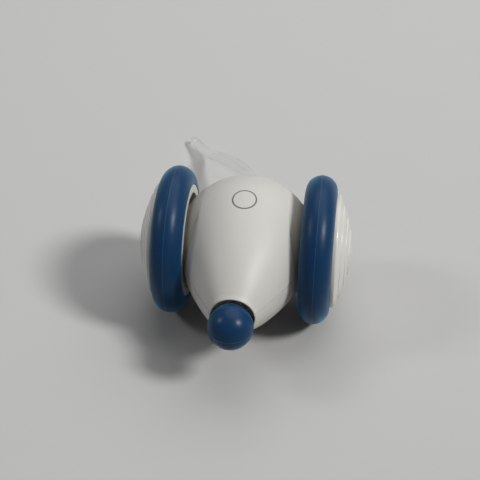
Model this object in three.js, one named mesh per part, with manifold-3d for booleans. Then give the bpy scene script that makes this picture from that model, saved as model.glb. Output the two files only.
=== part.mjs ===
// A self-driving cat toy in the form of a mouse: an egg-shaped body slung between two large wheels,
// a ball nose that works as a bump sensor, and a clear tail that trails on the floor.
// Millimetres, +Z up, the nose towards -Y. "Left" and "right" are the toy's own, so left is +X.

import * as THREE from 'three';
import { mergeVertices } from 'three/addons/utils/BufferGeometryUtils.js';
import Module from 'manifold-3d';

const wasm = await Module();
wasm.setup();

// Fits
const SEAT_GAP = 0.3;
const GEAR_SIDE_GAP = 0.5;
const CUT_OVERRUN = 2;
const WELD = 1e-4;

// The whole toy is drawn for a body of 28.6 mm, and every length but the fits grows with it
const BODY_RADIUS = 28.6;
const GROWTH = BODY_RADIUS / 28.6;

// Facets round the turned pieces
const WHEEL_FACETS = 22;
const BODY_FACETS = 24;
const COVER_FACETS = 20;
const NOSE_FACETS = 18;
const BUSH_FACETS = 12;
const PIN_FACETS = 8;
const SCREW_FACETS = 6;

// Wheels
const GROUND_CLEARANCE = 2.4;
const WHEEL_RADIUS = BODY_RADIUS + GROUND_CLEARANCE;
const WHEEL_STANDOFF = 5.37 * GROWTH;
const TYRE_SECTION_RADIUS = 6.5 * GROWTH;
const TYRE_BEAD_HALF_WIDTH = 5 * GROWTH;
const TYRE_ARC_STEPS = 8;
const TYRE_STAND = 7.8 * GROWTH;
const RIM_FLANGE_RADIUS = WHEEL_RADIUS - TYRE_STAND;
const RIM_FLANGE_WIDTH = 1.1 * GROWTH;
const RIM_SEAT_DEPTH = 1.6 * GROWTH;
const RIM_WALL = 1.8 * GROWTH;
const WEB_THICKNESS = 1.8 * GROWTH;
const WEB_CLEARANCE = 1.4 * GROWTH;
const HUB_RADIUS = 5.2 * GROWTH;
const HUB_STAND = 6.4 * GROWTH;

// Hub caps
const CAP_EDGE_STAND = 8 * GROWTH;
const CAP_CROWN = 5.8 * GROWTH;
const CAP_WALL = 1.5 * GROWTH;
const CAP_STEP = 0.3 * GROWTH;
const CAP_STEP_SHARES = [0.41, 0.62, 0.83];
const CAP_SPIGOT_DEPTH = 4 * GROWTH;

// Body: a ball round the axle's middle, drawn out to the nose rim by one arc in plan and one in side view
const BODY_WALL = 1.8 * GROWTH;
const NOSE_RIM_REACH = 45.5 * GROWTH;
const NOSE_RIM_RADIUS = 8.9 * GROWTH;
const NOSE_RIM_WALL = 0.8 * GROWTH;
const PLAN_ARC_RADIUS = 160 * GROWTH;
const SIDE_ARC_RADIUS = 90 * GROWTH;
const BALL_END_ANGLE = THREE.MathUtils.degToRad(112);
const BALL_STEPS = 8;
const SNOUT_STEPS = 3;
const PARTING_HEIGHT = 2 * GROWTH;
const LAP_HEIGHT = 1.3 * GROWTH;
const LAP_WALL = 0.8 * GROWTH;
const FLANK_BORE_RADIUS = 22.3 * GROWTH;
const FLANK_COLLAR_WALL = 1.6 * GROWTH;
const FLANK_COLLAR_DEPTH = 2.7 * GROWTH;

// Flank covers
const COVER_FACE_RADIUS = 15.2 * GROWTH;
const COVER_WALL = 1.8 * GROWTH;
const COVER_ARC_STEPS = 3;
const BUSH_BOSS_RADIUS = 5.4 * GROWTH;
const PIN_BOSS_RADIUS = 2.6 * GROWTH;

// Axles and bushes
const AXLE_RADIUS = 2 * GROWTH;
const BUSH_WALL = 1.2 * GROWTH;
const BUSH_FLANGE_RADIUS = 5 * GROWTH;
const BUSH_FLANGE_THICKNESS = 0.8 * GROWTH;

// Gears: involute teeth, cut a little short so that the small pinions need no undercut
const GEAR_MODULE = 0.6 * GROWTH;
const PRESSURE_ANGLE = THREE.MathUtils.degToRad(20);
const ADDENDUM_SHARE = 0.8;
const DEDENDUM_SHARE = 1.05;
const TOOTH_BACKLASH = 0.1;
const OUTPUT_TEETH = 30;
const IDLER_WHEEL_TEETH = 26;
const PINION_TEETH = 12;
const FIRST_STAGE_FACE = 2.4 * GROWTH;
const SECOND_STAGE_FACE = 3.2 * GROWTH;

// Gear train: where the motor and idler lie round the axle, seen along the axle
const MOTOR_OFFSET = 14.1 * GROWTH;
const MOTOR_BEARING = THREE.MathUtils.degToRad(30);
const IDLER_PIN_RADIUS = 1 * GROWTH;

// Motors
const MOTOR_RADIUS = 6 * GROWTH;
const MOTOR_HALF_HEIGHT = 5 * GROWTH;
const MOTOR_LENGTH = 16.8 * GROWTH;
const MOTOR_NOSE_RADIUS = 2 * GROWTH;
const MOTOR_NOSE_LENGTH = 1.3 * GROWTH;
const ROTOR_SHAFT_RADIUS = 0.75 * GROWTH;
const ROTOR_SHAFT_SUNK = 2.5 * GROWTH;

// Chassis
const PLATE_THICKNESS = 1.6 * GROWTH;
const PLATE_RADIUS = 18.4 * GROWTH;
const TRAY_THICKNESS = 1.2 * GROWTH;
const TRAY_GAP = 0.4 * GROWTH;
const TRAY_RADIUS = 21.2 * GROWTH;
const NECK_HALF_WIDTH = 5 * GROWTH;
const AXLE_BOSS_RADIUS = 4.2 * GROWTH;
const AXLE_BOSS_DEPTH = 1.5 * GROWTH;
const PEG_RADIUS = 0.9 * GROWTH;
const POST_CIRCLE_RADIUS = 12.4 * GROWTH;
const POST_RADIUS = 2 * GROWTH;
const POST_BEARINGS = [150, 262].map(THREE.MathUtils.degToRad);
const ARM_HALF_HEIGHT = 2.6 * GROWTH;
const CROSS_WALL_THICKNESS = 1.2 * GROWTH;
const BRACKET_HALF_WIDTH = 4.2 * GROWTH;
const BRACKET_RISE = 3.4 * GROWTH;

// Screws
const SCREW_RADIUS = 0.8 * GROWTH;
const SCREW_HEAD_RADIUS = 1.6 * GROWTH;
const SCREW_HEAD_HEIGHT = 1.1 * GROWTH;
const SCREW_LENGTH = 5 * GROWTH;
const SHELL_SCREW_LENGTH = 7 * GROWTH;
const BOARD_SCREW_LENGTH = 3.2 * GROWTH;
const WHEEL_SCREW_HEAD_RADIUS = 2.8 * GROWTH;
const WHEEL_SCREW_LENGTH = 7 * GROWTH;

// Screw pillars that hold the two shells together
const PILLAR_RADIUS = 2.3 * GROWTH;
const REAR_PILLAR = { x: 13 * GROWTH, y: 18.9 * GROWTH };
const FRONT_PILLAR = { x: 10.4 * GROWTH, y: -25.5 * GROWTH };
const PILLAR_JOINT_DEPTH = 7 * GROWTH;

// Battery and boards
const BATTERY_SIZE = [16.2 * GROWTH, 8 * GROWTH, 21 * GROWTH];
const BATTERY_EDGE = 1.4 * GROWTH;
const BATTERY_CORNER_STEPS = 2;
const BOARD_SIZE = [19 * GROWTH, 28 * GROWTH, 1.2 * GROWTH];
const BOARD_STANDOFF = 2 * GROWTH;
const STANDOFF_INSET = 2 * GROWTH;
const CHIP_SIZE = [7 * GROWTH, 7 * GROWTH, 1 * GROWTH];
const SWITCH_BODY = 4.5 * GROWTH;
const SWITCH_HEIGHT = 2.2 * GROWTH;
const SWITCH_STEM_RADIUS = 1.1 * GROWTH;
const SWITCH_STEM_HEIGHT = 0.8 * GROWTH;
const LED_BOARD_SIZE = [16.8 * GROWTH, 0.8 * GROWTH, 6 * GROWTH];
const LED_SIZE = [2.8 * GROWTH, 1.4 * GROWTH, 2.8 * GROWTH];

// Charging port
const PORT_WIDTH = 8.9 * GROWTH;
const PORT_HEIGHT = 3.2 * GROWTH;
const PORT_DEPTH = 7.8 * GROWTH;
const PORT_SKIN = 0.3 * GROWTH;
const PORT_CORNER_STEPS = 2;
const PORT_OVERHANG = 3.4 * GROWTH;
const PORT_TONGUE = [6.7 * GROWTH, 0.7 * GROWTH, 5 * GROWTH];

// Belly flat and power button
const BELLY_FLAT_CUT = 1.3 * GROWTH;
const BELLY_PAD_RADIUS = 9 * GROWTH;
const BELLY_WALL = 2.1 * GROWTH;
const BUTTON_RADIUS = 3.2 * GROWTH;
const BUTTON_STAND = 0.3 * GROWTH;
const BUTTON_TRAVEL = 0.8 * GROWTH;
const BUTTON_FLANGE_RADIUS = 4.4 * GROWTH;
const BUTTON_FLANGE_THICKNESS = 0.9 * GROWTH;
const BUTTON_STEM_RADIUS = 1.4 * GROWTH;

// Nose: a rubber ball over a plastic bulb on a sprung plunger
const NOSE_REACH = 50.9 * GROWTH;
const NOSE_BALL_RADIUS = 8.9 * GROWTH;
const NOSE_BALL_WALL = 1.6 * GROWTH;
const NOSE_BALL_MOUTH_RADIUS = 5 * GROWTH;
const NOSE_TRAVEL = 1.2 * GROWTH;
const NOSE_STEM_RADIUS = 2.4 * GROWTH;
const NOSE_ARC_STEPS = 7;
const BULB_ARC_STEPS = 5;
const BULKHEAD_SETBACK = 7.2 * GROWTH;
const BULKHEAD_THICKNESS = 2.1 * GROWTH;
const STOP_RADIUS = 4 * GROWTH;
const STOP_THICKNESS = 1.3 * GROWTH;
const STEM_TAIL = 2 * GROWTH;
const SPRING_SEAT_RADIUS = 4.4 * GROWTH;
const SPRING_SEAT_THICKNESS = 1.2 * GROWTH;
const SPRING_WIRE_RADIUS = 0.35 * GROWTH;
const SPRING_TURNS = 4;
const SPRING_STEPS_PER_TURN = 8;
const SPRING_SIDES = 4;

// Tail: leaves the body level on the parting line, sweeps to the toy's right and comes down to the floor
const TAIL_ROOT_RADIUS = 3.3 * GROWTH;
const TAIL_TIP_RADIUS = 2.3 * GROWTH;
const TAIL_FLANGE_RADIUS = 5 * GROWTH;
const TAIL_FLANGE_THICKNESS = 1.5 * GROWTH;
const TAIL_SWEEP = 40.9 * GROWTH;
const TAIL_REACH = 118 * GROWTH;
const TAIL_SWEEP_SHARES = [0.02, 0.1, 0.26, 0.54, 0.78, 1];
const TAIL_REACH_SHARES = [0.36, 0.45, 0.58, 0.74, 0.88, 1];
const TAIL_DROP_SHARES = [0.03, 0.14, 0.31, 0.6, 0.88, 1];
const TAIL_STEPS = 20;
const TAIL_SIDES = 8;
const TAIL_TIP_STEPS = 3;
const COLLAR_WALL = 1.6 * GROWTH;
const COLLAR_FLANGE_RADIUS = 7 * GROWTH;
const COLLAR_FLANGE_THICKNESS = 1.3 * GROWTH;
const COLLAR_DEPTH = 3.4 * GROWTH;

// Colours and finishes
const paint = (color, roughness, metalness = 0) =>
  new THREE.MeshStandardMaterial({ color, roughness, metalness });
const WHITE = paint(0xd9d7d2, 0.35);
const DARK_WHITE = paint(0xb9b6b0, 0.45);
const TYRE_BLUE = paint(0x27496a, 0.5);
const CLEAR = new THREE.MeshStandardMaterial({
  color: 0xdfe2e2, roughness: 0.12, transparent: true, opacity: 0.4,
});
const FRAME_GREY = paint(0x55585c, 0.6);
const GEAR_WHITE = paint(0xe8e6dc, 0.5);
const STEEL = paint(0xb0b2b5, 0.3, 1);
const BRASS = paint(0xc29a4b, 0.35, 1);
const BOARD_GREEN = paint(0x1f5a3a, 0.5);
const SWITCH_BLACK = paint(0x1d1d1f, 0.5);
const CELL_SILVER = paint(0xa9adb3, 0.4);

// Lateral stations: distances from the body's centre plane, out along each axle
const plateInner = MOTOR_LENGTH / 2 + SEAT_GAP;
const plateOuter = plateInner + PLATE_THICKNESS;
const firstStageStart = plateOuter + GEAR_SIDE_GAP;
const firstStageEnd = firstStageStart + FIRST_STAGE_FACE;
const secondStageStart = firstStageEnd + GEAR_SIDE_GAP;
const secondStageEnd = secondStageStart + SECOND_STAGE_FACE;
const coverBossEnd = secondStageEnd + GEAR_SIDE_GAP;
const coverRadius = FLANK_BORE_RADIUS - SEAT_GAP;
const coverFace = Math.sqrt(BODY_RADIUS ** 2 - COVER_FACE_RADIUS ** 2);
const coverRim = Math.sqrt(BODY_RADIUS ** 2 - coverRadius ** 2);
const collarInner = coverRim - FLANK_COLLAR_DEPTH;
const bushEnd = coverFace + SEAT_GAP + BUSH_FLANGE_THICKNESS;
const wheelMid = coverFace + WHEEL_STANDOFF;
const axleEnd = wheelMid + HUB_STAND;
const idlerPinEnd = coverFace - COVER_WALL - GEAR_SIDE_GAP;

// Stations of the wheel from its own middle plane
const hubInner = bushEnd + GEAR_SIDE_GAP - wheelMid;
const webInner = coverFace + SEAT_GAP + SCREW_HEAD_HEIGHT + WEB_CLEARANCE - wheelMid;
const webOuter = webInner + WEB_THICKNESS;
const seatHalfWidth = TYRE_BEAD_HALF_WIDTH + SEAT_GAP;
const flangeFace = seatHalfWidth + RIM_FLANGE_WIDTH;
const capSeat = flangeFace + SEAT_GAP;

// Radii that follow from them
const bushRadius = AXLE_RADIUS + SEAT_GAP + BUSH_WALL;
const tyreRingRadius = WHEEL_RADIUS - TYRE_SECTION_RADIUS;
const rimSeatRadius = RIM_FLANGE_RADIUS - RIM_SEAT_DEPTH;
const rimInnerRadius = rimSeatRadius - RIM_WALL;
const outputPitchRadius = GEAR_MODULE * OUTPUT_TEETH / 2;
const idlerWheelPitchRadius = GEAR_MODULE * IDLER_WHEEL_TEETH / 2;
const pinionPitchRadius = GEAR_MODULE * PINION_TEETH / 2;
const axleToIdler = outputPitchRadius + pinionPitchRadius;
const idlerToMotor = idlerWheelPitchRadius + pinionPitchRadius;

// The idler meshes with both gears, so it lies where the two centre distances meet
const idlerBearing = MOTOR_BEARING + Math.acos(
  (axleToIdler ** 2 + MOTOR_OFFSET ** 2 - idlerToMotor ** 2) / (2 * axleToIdler * MOTOR_OFFSET),
);
const idlerCentre = polar(axleToIdler, idlerBearing);
const motorCentre = polar(MOTOR_OFFSET, MOTOR_BEARING);
const POSTS = POST_BEARINGS.map((bearing) => polar(POST_CIRCLE_RADIUS, bearing));

// Heights are measured from the axle; a flat of each faceted tyre stands on the floor
const floorDrop = WHEEL_RADIUS * Math.cos(Math.PI / WHEEL_FACETS);
const trayTop = -(motorCentre.y + MOTOR_HALF_HEIGHT + TRAY_GAP);
const trayBottom = trayTop - TRAY_THICKNESS;
const boardTop = trayBottom - BOARD_STANDOFF;
const boardBottom = boardTop - BOARD_SIZE[2];
const bellyFlat = -(BODY_RADIUS - BELLY_FLAT_CUT);
const bellyPadTop = bellyFlat + BELLY_WALL;

// Stations along Y; the nose is towards -Y
const noseY = -NOSE_REACH;
const bulkheadFrontY = -(NOSE_RIM_REACH - BULKHEAD_SETBACK);
const bulkheadBackY = bulkheadFrontY + BULKHEAD_THICKNESS;
const stopBackY = bulkheadBackY + SEAT_GAP + STOP_THICKNESS;
const stemEndY = stopBackY + STEM_TAIL;
const noseSwitchTipY = stemEndY + NOSE_TRAVEL + SEAT_GAP;
const noseSwitchFrontY = noseSwitchTipY + SWITCH_STEM_HEIGHT;
const bracketFrontY = noseSwitchFrontY + SWITCH_HEIGHT + SEAT_GAP;
const bracketBackY = bracketFrontY + CROSS_WALL_THICKNESS;
const batteryFrontY = -(BUSH_BOSS_RADIUS + SEAT_GAP + BATTERY_SIZE[1]);
const crossWallFrontY = batteryFrontY - SEAT_GAP - CROSS_WALL_THICKNESS;
const collarMouthY = Math.sqrt(BODY_RADIUS ** 2 - (TAIL_ROOT_RADIUS + 2 * SEAT_GAP + COLLAR_WALL) ** 2);
const collarInnerY = collarMouthY + SEAT_GAP - COLLAR_DEPTH;
const tailFlangeBackY = collarInnerY - SEAT_GAP;
const tailFlangeFrontY = tailFlangeBackY - TAIL_FLANGE_THICKNESS;
const ledBackY = tailFlangeFrontY - SEAT_GAP;
const ledBoardBackY = ledBackY - LED_SIZE[1];
const ledBoardFrontY = ledBoardBackY - LED_BOARD_SIZE[1];
const portMouthY = BOARD_SIZE[1] / 2 + PORT_OVERHANG;
const portMiddle = boardBottom - SEAT_GAP - PORT_HEIGHT / 2;

function polar(radius, angle) {
  return new THREE.Vector2(radius * Math.cos(angle), radius * Math.sin(angle));
}

// Turns a closed geometry right side out
function facesOut(geometry) {
  const position = geometry.attributes.position;
  const index = geometry.index.array;
  const [a, b, c] = [new THREE.Vector3(), new THREE.Vector3(), new THREE.Vector3()];
  let volume = 0;
  for (let i = 0; i < index.length; i += 3) {
    a.fromBufferAttribute(position, index[i]);
    b.fromBufferAttribute(position, index[i + 1]);
    c.fromBufferAttribute(position, index[i + 2]);
    volume += a.dot(b.cross(c));
  }
  if (volume < 0) {
    for (let i = 0; i < index.length; i += 3) {
      [index[i], index[i + 1]] = [index[i + 1], index[i]];
    }
  }
  return geometry;
}

// Merges the shared vertices, so that the surface is one closed skin
function closed(geometry) {
  geometry.deleteAttribute('normal');
  geometry.deleteAttribute('uv');
  const merged = mergeVertices(geometry, WELD);
  const kept = [];
  const index = merged.index.array;
  for (let i = 0; i < index.length; i += 3) {
    const [a, b, c] = [index[i], index[i + 1], index[i + 2]];
    if (a !== b && b !== c && c !== a) kept.push(a, b, c);
  }
  merged.setIndex(kept);
  return facesOut(merged);
}

function solid(geometry) {
  const skin = closed(geometry);
  return new wasm.Manifold(new wasm.Mesh({
    numProp: 3,
    vertProperties: new Float32Array(skin.attributes.position.array),
    triVerts: new Uint32Array(skin.index.array),
  }));
}

function geometryOf(manifold) {
  const mesh = manifold.getMesh();
  const geometry = new THREE.BufferGeometry();
  geometry.setAttribute('position', new THREE.BufferAttribute(mesh.vertProperties, 3));
  geometry.setIndex(new THREE.BufferAttribute(mesh.triVerts, 1));
  geometry.computeVertexNormals();
  return geometry;
}

function join(...solids) {
  return solids.reduce((whole, piece) => whole.add(piece));
}

function cut(body, ...tools) {
  return tools.reduce((rest, tool) => rest.subtract(tool), body);
}

// Shapes about local Z: a turned profile of [radius, height] pairs, a rod, a box and a prism
function turned(profile, facets, phase = 0) {
  const points = profile.map(([radius, height]) => new THREE.Vector2(radius, height));
  const geometry = new THREE.LatheGeometry(points, facets, phase);
  geometry.rotateX(Math.PI / 2);
  return closed(geometry);
}

function ring(profile, facets, phase = 0) {
  return turned([...profile, profile[0]], facets, phase);
}

function rod(radius, from, to, facets = BUSH_FACETS, x = 0, y = 0) {
  return turned([[0, from], [radius, from], [radius, to], [0, to]], facets).translate(x, y, 0);
}

function block([width, depth, height], [x, y, z]) {
  return new THREE.BoxGeometry(width, depth, height).translate(x, y, z);
}

// A block given by its two end values on each axis
function span([x0, x1], [y0, y1], [z0, z1]) {
  return block([x1 - x0, y1 - y0, z1 - z0], [(x0 + x1) / 2, (y0 + y1) / 2, (z0 + z1) / 2]);
}

function prism(shape, depth, curveSegments = PIN_FACETS) {
  return new THREE.ExtrudeGeometry(shape, { depth, bevelEnabled: false, curveSegments });
}

function roundedShape(width, height, radius) {
  const [x, y] = [width / 2 - radius, height / 2 - radius];
  const shape = new THREE.Shape();
  shape.absarc(x, y, radius, 0, Math.PI / 2);
  shape.absarc(-x, y, radius, Math.PI / 2, Math.PI);
  shape.absarc(-x, -y, radius, Math.PI, 1.5 * Math.PI);
  shape.absarc(x, -y, radius, 1.5 * Math.PI, 2 * Math.PI);
  return shape;
}

// A skin through rings of points, closed at both ends by a fan to the ring's own middle
function loft(rings) {
  const points = rings.flat();
  const sides = rings[0].length;
  const index = [];
  for (let i = 0; i + 1 < rings.length; i++) {
    for (let j = 0; j < sides; j++) {
      const next = (j + 1) % sides;
      const [a, b] = [i * sides + j, i * sides + next];
      index.push(a, b, b + sides, a, b + sides, a + sides);
    }
  }
  for (const [ringNumber, flip] of [[0, false], [rings.length - 1, true]]) {
    const middle = new THREE.Vector3();
    rings[ringNumber].forEach((point) => middle.add(point));
    points.push(middle.divideScalar(sides));
    for (let j = 0; j < sides; j++) {
      const [a, b] = [ringNumber * sides + j, ringNumber * sides + (j + 1) % sides];
      index.push(points.length - 1, ...(flip ? [a, b] : [b, a]));
    }
  }
  const geometry = new THREE.BufferGeometry().setFromPoints(points);
  geometry.setIndex(index);
  return closed(geometry);
}

// Turns local Z to lie along Y, for what is round about the nose or tail axis
function alongY(geometry) {
  return geometry.rotateX(-Math.PI / 2);
}

// Each side has a frame of its own. On the left its X points back, its Y up and its Z out along the
// axle, and the right side is the left one turned by half a turn about the nose-to-tail line.
const leftTurn = new THREE.Matrix4().makeBasis(
  new THREE.Vector3(0, 1, 0), new THREE.Vector3(0, 0, 1), new THREE.Vector3(1, 0, 0),
);
const LEFT = { name: 'left', turn: leftTurn };
const RIGHT = { name: 'right', turn: new THREE.Matrix4().makeRotationY(Math.PI).multiply(leftTurn) };
const SIDES = [LEFT, RIGHT];

function onSide(geometry, side) {
  return geometry.applyMatrix4(side.turn);
}

// Outline of the body from its back to the nose rim, as a radius for each forward distance:
// a circle round the axle, and an arc that leaves it smoothly and ends on the rim
function bodyOutline(circleRadius, rimRadius, arcRadius) {
  const setback = arcRadius - circleRadius;
  const rimDistance = Math.hypot(NOSE_RIM_REACH, rimRadius);
  const cosine = (arcRadius ** 2 - setback ** 2 - rimDistance ** 2) / (2 * setback * rimDistance);
  const tangent = Math.atan2(rimRadius, NOSE_RIM_REACH) + Math.acos(cosine);
  const arcCentre = polar(-setback, tangent);
  return (forward) => {
    if (forward <= circleRadius * Math.cos(tangent)) {
      return Math.sqrt(Math.max(circleRadius ** 2 - forward ** 2, 0));
    }
    return arcCentre.y + Math.sqrt(arcRadius ** 2 - (forward - arcCentre.x) ** 2);
  };
}

// Solid of the body's form, inset from the outer surface; past the rim it runs on straight
function bodyForm(inset, rimInset, overrun) {
  const radius = BODY_RADIUS - inset;
  const rim = NOSE_RIM_RADIUS - rimInset;
  const halfWidth = bodyOutline(radius, rim, PLAN_ARC_RADIUS - inset);
  const halfHeight = bodyOutline(radius, rim, SIDE_ARC_RADIUS - inset);
  const stations = [];
  for (let i = 0; i <= BALL_STEPS; i++) {
    stations.push(-radius * Math.cos(BALL_END_ANGLE * i / BALL_STEPS));
  }
  const ballEnd = stations.at(-1);
  for (let i = 1; i <= SNOUT_STEPS; i++) {
    stations.push(THREE.MathUtils.lerp(ballEnd, NOSE_RIM_REACH, i / SNOUT_STEPS));
  }
  const rings = stations.map((forward) => bodyRing(forward, halfWidth(forward), halfHeight(forward)));
  if (overrun > 0) rings.push(bodyRing(NOSE_RIM_REACH + overrun, rim, rim));
  return solid(loft(rings));
}

function bodyRing(forward, halfWidth, halfHeight) {
  return Array.from({ length: BODY_FACETS }, (_, j) => {
    const angle = 2 * Math.PI * j / BODY_FACETS;
    return new THREE.Vector3(halfWidth * Math.cos(angle), -forward, halfHeight * Math.sin(angle));
  });
}

// Body shells

// Screw and peg places, as [x, y]
const screwFixing = [NECK_HALF_WIDTH + POST_RADIUS, crossWallFrontY - POST_RADIUS];
const pegFixing = [REAR_PILLAR.x - PILLAR_RADIUS - POST_RADIUS - SEAT_GAP, PLATE_RADIUS - SEAT_GAP];
const bothSides = ([x, y]) => [[x, y], [-x, y]];
const TRAY_SCREWS = bothSides(screwFixing);
const TRAY_PEGS = bothSides(pegFixing);

const PILLARS = [REAR_PILLAR, FRONT_PILLAR].flatMap(({ x, y }) => bothSides([x, y]));
const pillarSeat = -PILLAR_JOINT_DEPTH;
const shellScrewSeat = pillarSeat - SEAT_GAP - BODY_WALL;

function upright(radius, from, to, x, y, facets = PIN_FACETS) {
  return solid(rod(radius, from, to, facets, x, y));
}

function hollowBody() {
  const outer = bodyForm(0, 0, 0);
  const inner = bodyForm(BODY_WALL, NOSE_RIM_WALL, CUT_OVERRUN);
  const collarRadius = FLANK_BORE_RADIUS + FLANK_COLLAR_WALL;
  const collars = SIDES.map((side) => solid(
    onSide(rod(collarRadius, collarInner, BODY_RADIUS, COVER_FACETS), side),
  ));
  const bores = SIDES.map((side) => solid(
    onSide(rod(FLANK_BORE_RADIUS, collarInner - CUT_OVERRUN, BODY_RADIUS + CUT_OVERRUN, COVER_FACETS), side),
  ));
  const bulkhead = solid(alongY(rod(BODY_RADIUS, bulkheadFrontY, bulkheadBackY)));
  const stemBore = solid(alongY(rod(
    NOSE_STEM_RADIUS + SEAT_GAP, bulkheadFrontY - CUT_OVERRUN, bulkheadBackY + CUT_OVERRUN,
  )));
  const tailBore = solid(alongY(rod(
    TAIL_ROOT_RADIUS + 2 * SEAT_GAP + COLLAR_WALL, collarInnerY, BODY_RADIUS + CUT_OVERRUN,
  )));
  const inside = join(...collars, bulkhead).intersect(outer);
  return { outer, hollow: cut(join(cut(outer, inner), inside), ...bores, stemBore, tailBore) };
}

const body = hollowBody();

function halfSpace(from, to) {
  const width = 2 * BODY_RADIUS;
  return solid(span([-width, width], [-2 * NOSE_RIM_REACH, width], [from, to]));
}

// The lap: a thin tongue on the lower shell that stands inside a rebate of the upper one
function lapRing(wallFrom, wallTo, from, to) {
  const outside = bodyForm(wallFrom, NOSE_RIM_WALL / 2, CUT_OVERRUN);
  const inside = bodyForm(wallTo, NOSE_RIM_WALL, 2 * CUT_OVERRUN);
  return cut(outside, inside).intersect(halfSpace(from, to));
}

function lapCutOuts() {
  const clear = FLANK_BORE_RADIUS + FLANK_COLLAR_WALL + SEAT_GAP;
  const wide = [-BODY_RADIUS, BODY_RADIUS];
  return [
    solid(span(wide, [-NOSE_RIM_REACH * 2, bulkheadBackY], wide)),
    ...SIDES.map((side) => solid(
      onSide(rod(clear, collarInner - SEAT_GAP, BODY_RADIUS, COVER_FACETS), side),
    )),
    solid(alongY(rod(COLLAR_FLANGE_RADIUS, collarInnerY - CUT_OVERRUN, BODY_RADIUS + CUT_OVERRUN))),
  ];
}

function upperShell() {
  const parting = PARTING_HEIGHT + SEAT_GAP / 2;
  const pillars = PILLARS.map(([x, y]) => upright(PILLAR_RADIUS, pillarSeat + SEAT_GAP, BODY_RADIUS, x, y));
  const threads = PILLARS.map(([x, y]) => upright(
    SCREW_RADIUS + SEAT_GAP, pillarSeat - CUT_OVERRUN, pillarSeat + SCREW_LENGTH, x, y, SCREW_FACETS,
  ));
  const shell = body.hollow.intersect(halfSpace(parting, BODY_RADIUS * 2));
  const rebate = cut(
    lapRing(
      LAP_WALL, BODY_WALL + SEAT_GAP, PARTING_HEIGHT, PARTING_HEIGHT + LAP_HEIGHT + SEAT_GAP,
    ),
    ...lapCutOuts(),
  );
  const grown = cut(shell, rebate).add(join(...pillars).intersect(body.outer));
  return cut(grown, ...threads);
}

function lowerShell() {
  const parting = PARTING_HEIGHT - SEAT_GAP / 2;
  const pillars = PILLARS.map(([x, y]) => upright(PILLAR_RADIUS, -BODY_RADIUS, pillarSeat, x, y));
  const headBores = PILLARS.map(([x, y]) => upright(
    SCREW_HEAD_RADIUS + SEAT_GAP, -BODY_RADIUS - CUT_OVERRUN, shellScrewSeat, x, y,
  ));
  const shankBores = PILLARS.map(([x, y]) => upright(
    SCREW_RADIUS + SEAT_GAP, -BODY_RADIUS, CUT_OVERRUN, x, y, SCREW_FACETS,
  ));
  const pad = upright(BELLY_PAD_RADIUS, bellyFlat, bellyPadTop, 0, 0, COVER_FACETS);
  const posts = [...TRAY_SCREWS, ...TRAY_PEGS].map(
    ([x, y]) => upright(POST_RADIUS, -BODY_RADIUS, trayBottom - SEAT_GAP, x, y),
  );
  const pegs = TRAY_PEGS.map(([x, y]) => upright(PEG_RADIUS, trayBottom - POST_RADIUS, trayTop, x, y));
  const postBores = TRAY_SCREWS.map(([x, y]) => upright(
    SCREW_RADIUS + SEAT_GAP, trayTop - SCREW_LENGTH, trayBottom, x, y, SCREW_FACETS,
  ));
  const belowFlat = solid(span(
    [-BELLY_PAD_RADIUS, BELLY_PAD_RADIUS].map((x) => x * 2),
    [-BELLY_PAD_RADIUS, BELLY_PAD_RADIUS].map((y) => y * 2),
    [-BODY_RADIUS - CUT_OVERRUN, bellyFlat],
  ));
  const buttonBore = upright(
    BUTTON_RADIUS + SEAT_GAP, bellyFlat - CUT_OVERRUN, bellyPadTop + CUT_OVERRUN, 0, 0, BUSH_FACETS,
  );
  const shell = body.hollow.intersect(halfSpace(-BODY_RADIUS * 2, parting));
  const tongue = cut(
    lapRing(LAP_WALL + SEAT_GAP, BODY_WALL, parting - LAP_HEIGHT, PARTING_HEIGHT + LAP_HEIGHT),
    ...lapCutOuts(),
  );
  const grown = join(shell, tongue, join(...pillars, ...posts, ...pegs, pad).intersect(body.outer));
  return cut(grown, ...headBores, ...shankBores, ...postBores, belowFlat, buttonBore, portTunnel());
}

// The tunnel through which the charging plug reaches its port
function portTunnel() {
  const [width, height] = [PORT_WIDTH + 2 * SEAT_GAP, PORT_HEIGHT + 2 * SEAT_GAP];
  const outline = roundedShape(width, height, height / 2 - WELD);
  const tunnel = alongY(prism(outline, BODY_RADIUS, PORT_CORNER_STEPS));
  return solid(tunnel.translate(0, portMouthY - 2 * BODY_WALL, portMiddle));
}

// Flank covers: a dished plate that carries on the ball of the body inside each wheel

function arcPoints(radius, fromRadius, toRadius, steps) {
  const [from, to] = [Math.asin(fromRadius / radius), Math.asin(toRadius / radius)];
  return Array.from({ length: steps + 1 }, (_, i) => {
    const angle = THREE.MathUtils.lerp(from, to, i / steps);
    return [radius * Math.sin(angle), radius * Math.cos(angle)];
  });
}

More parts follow.
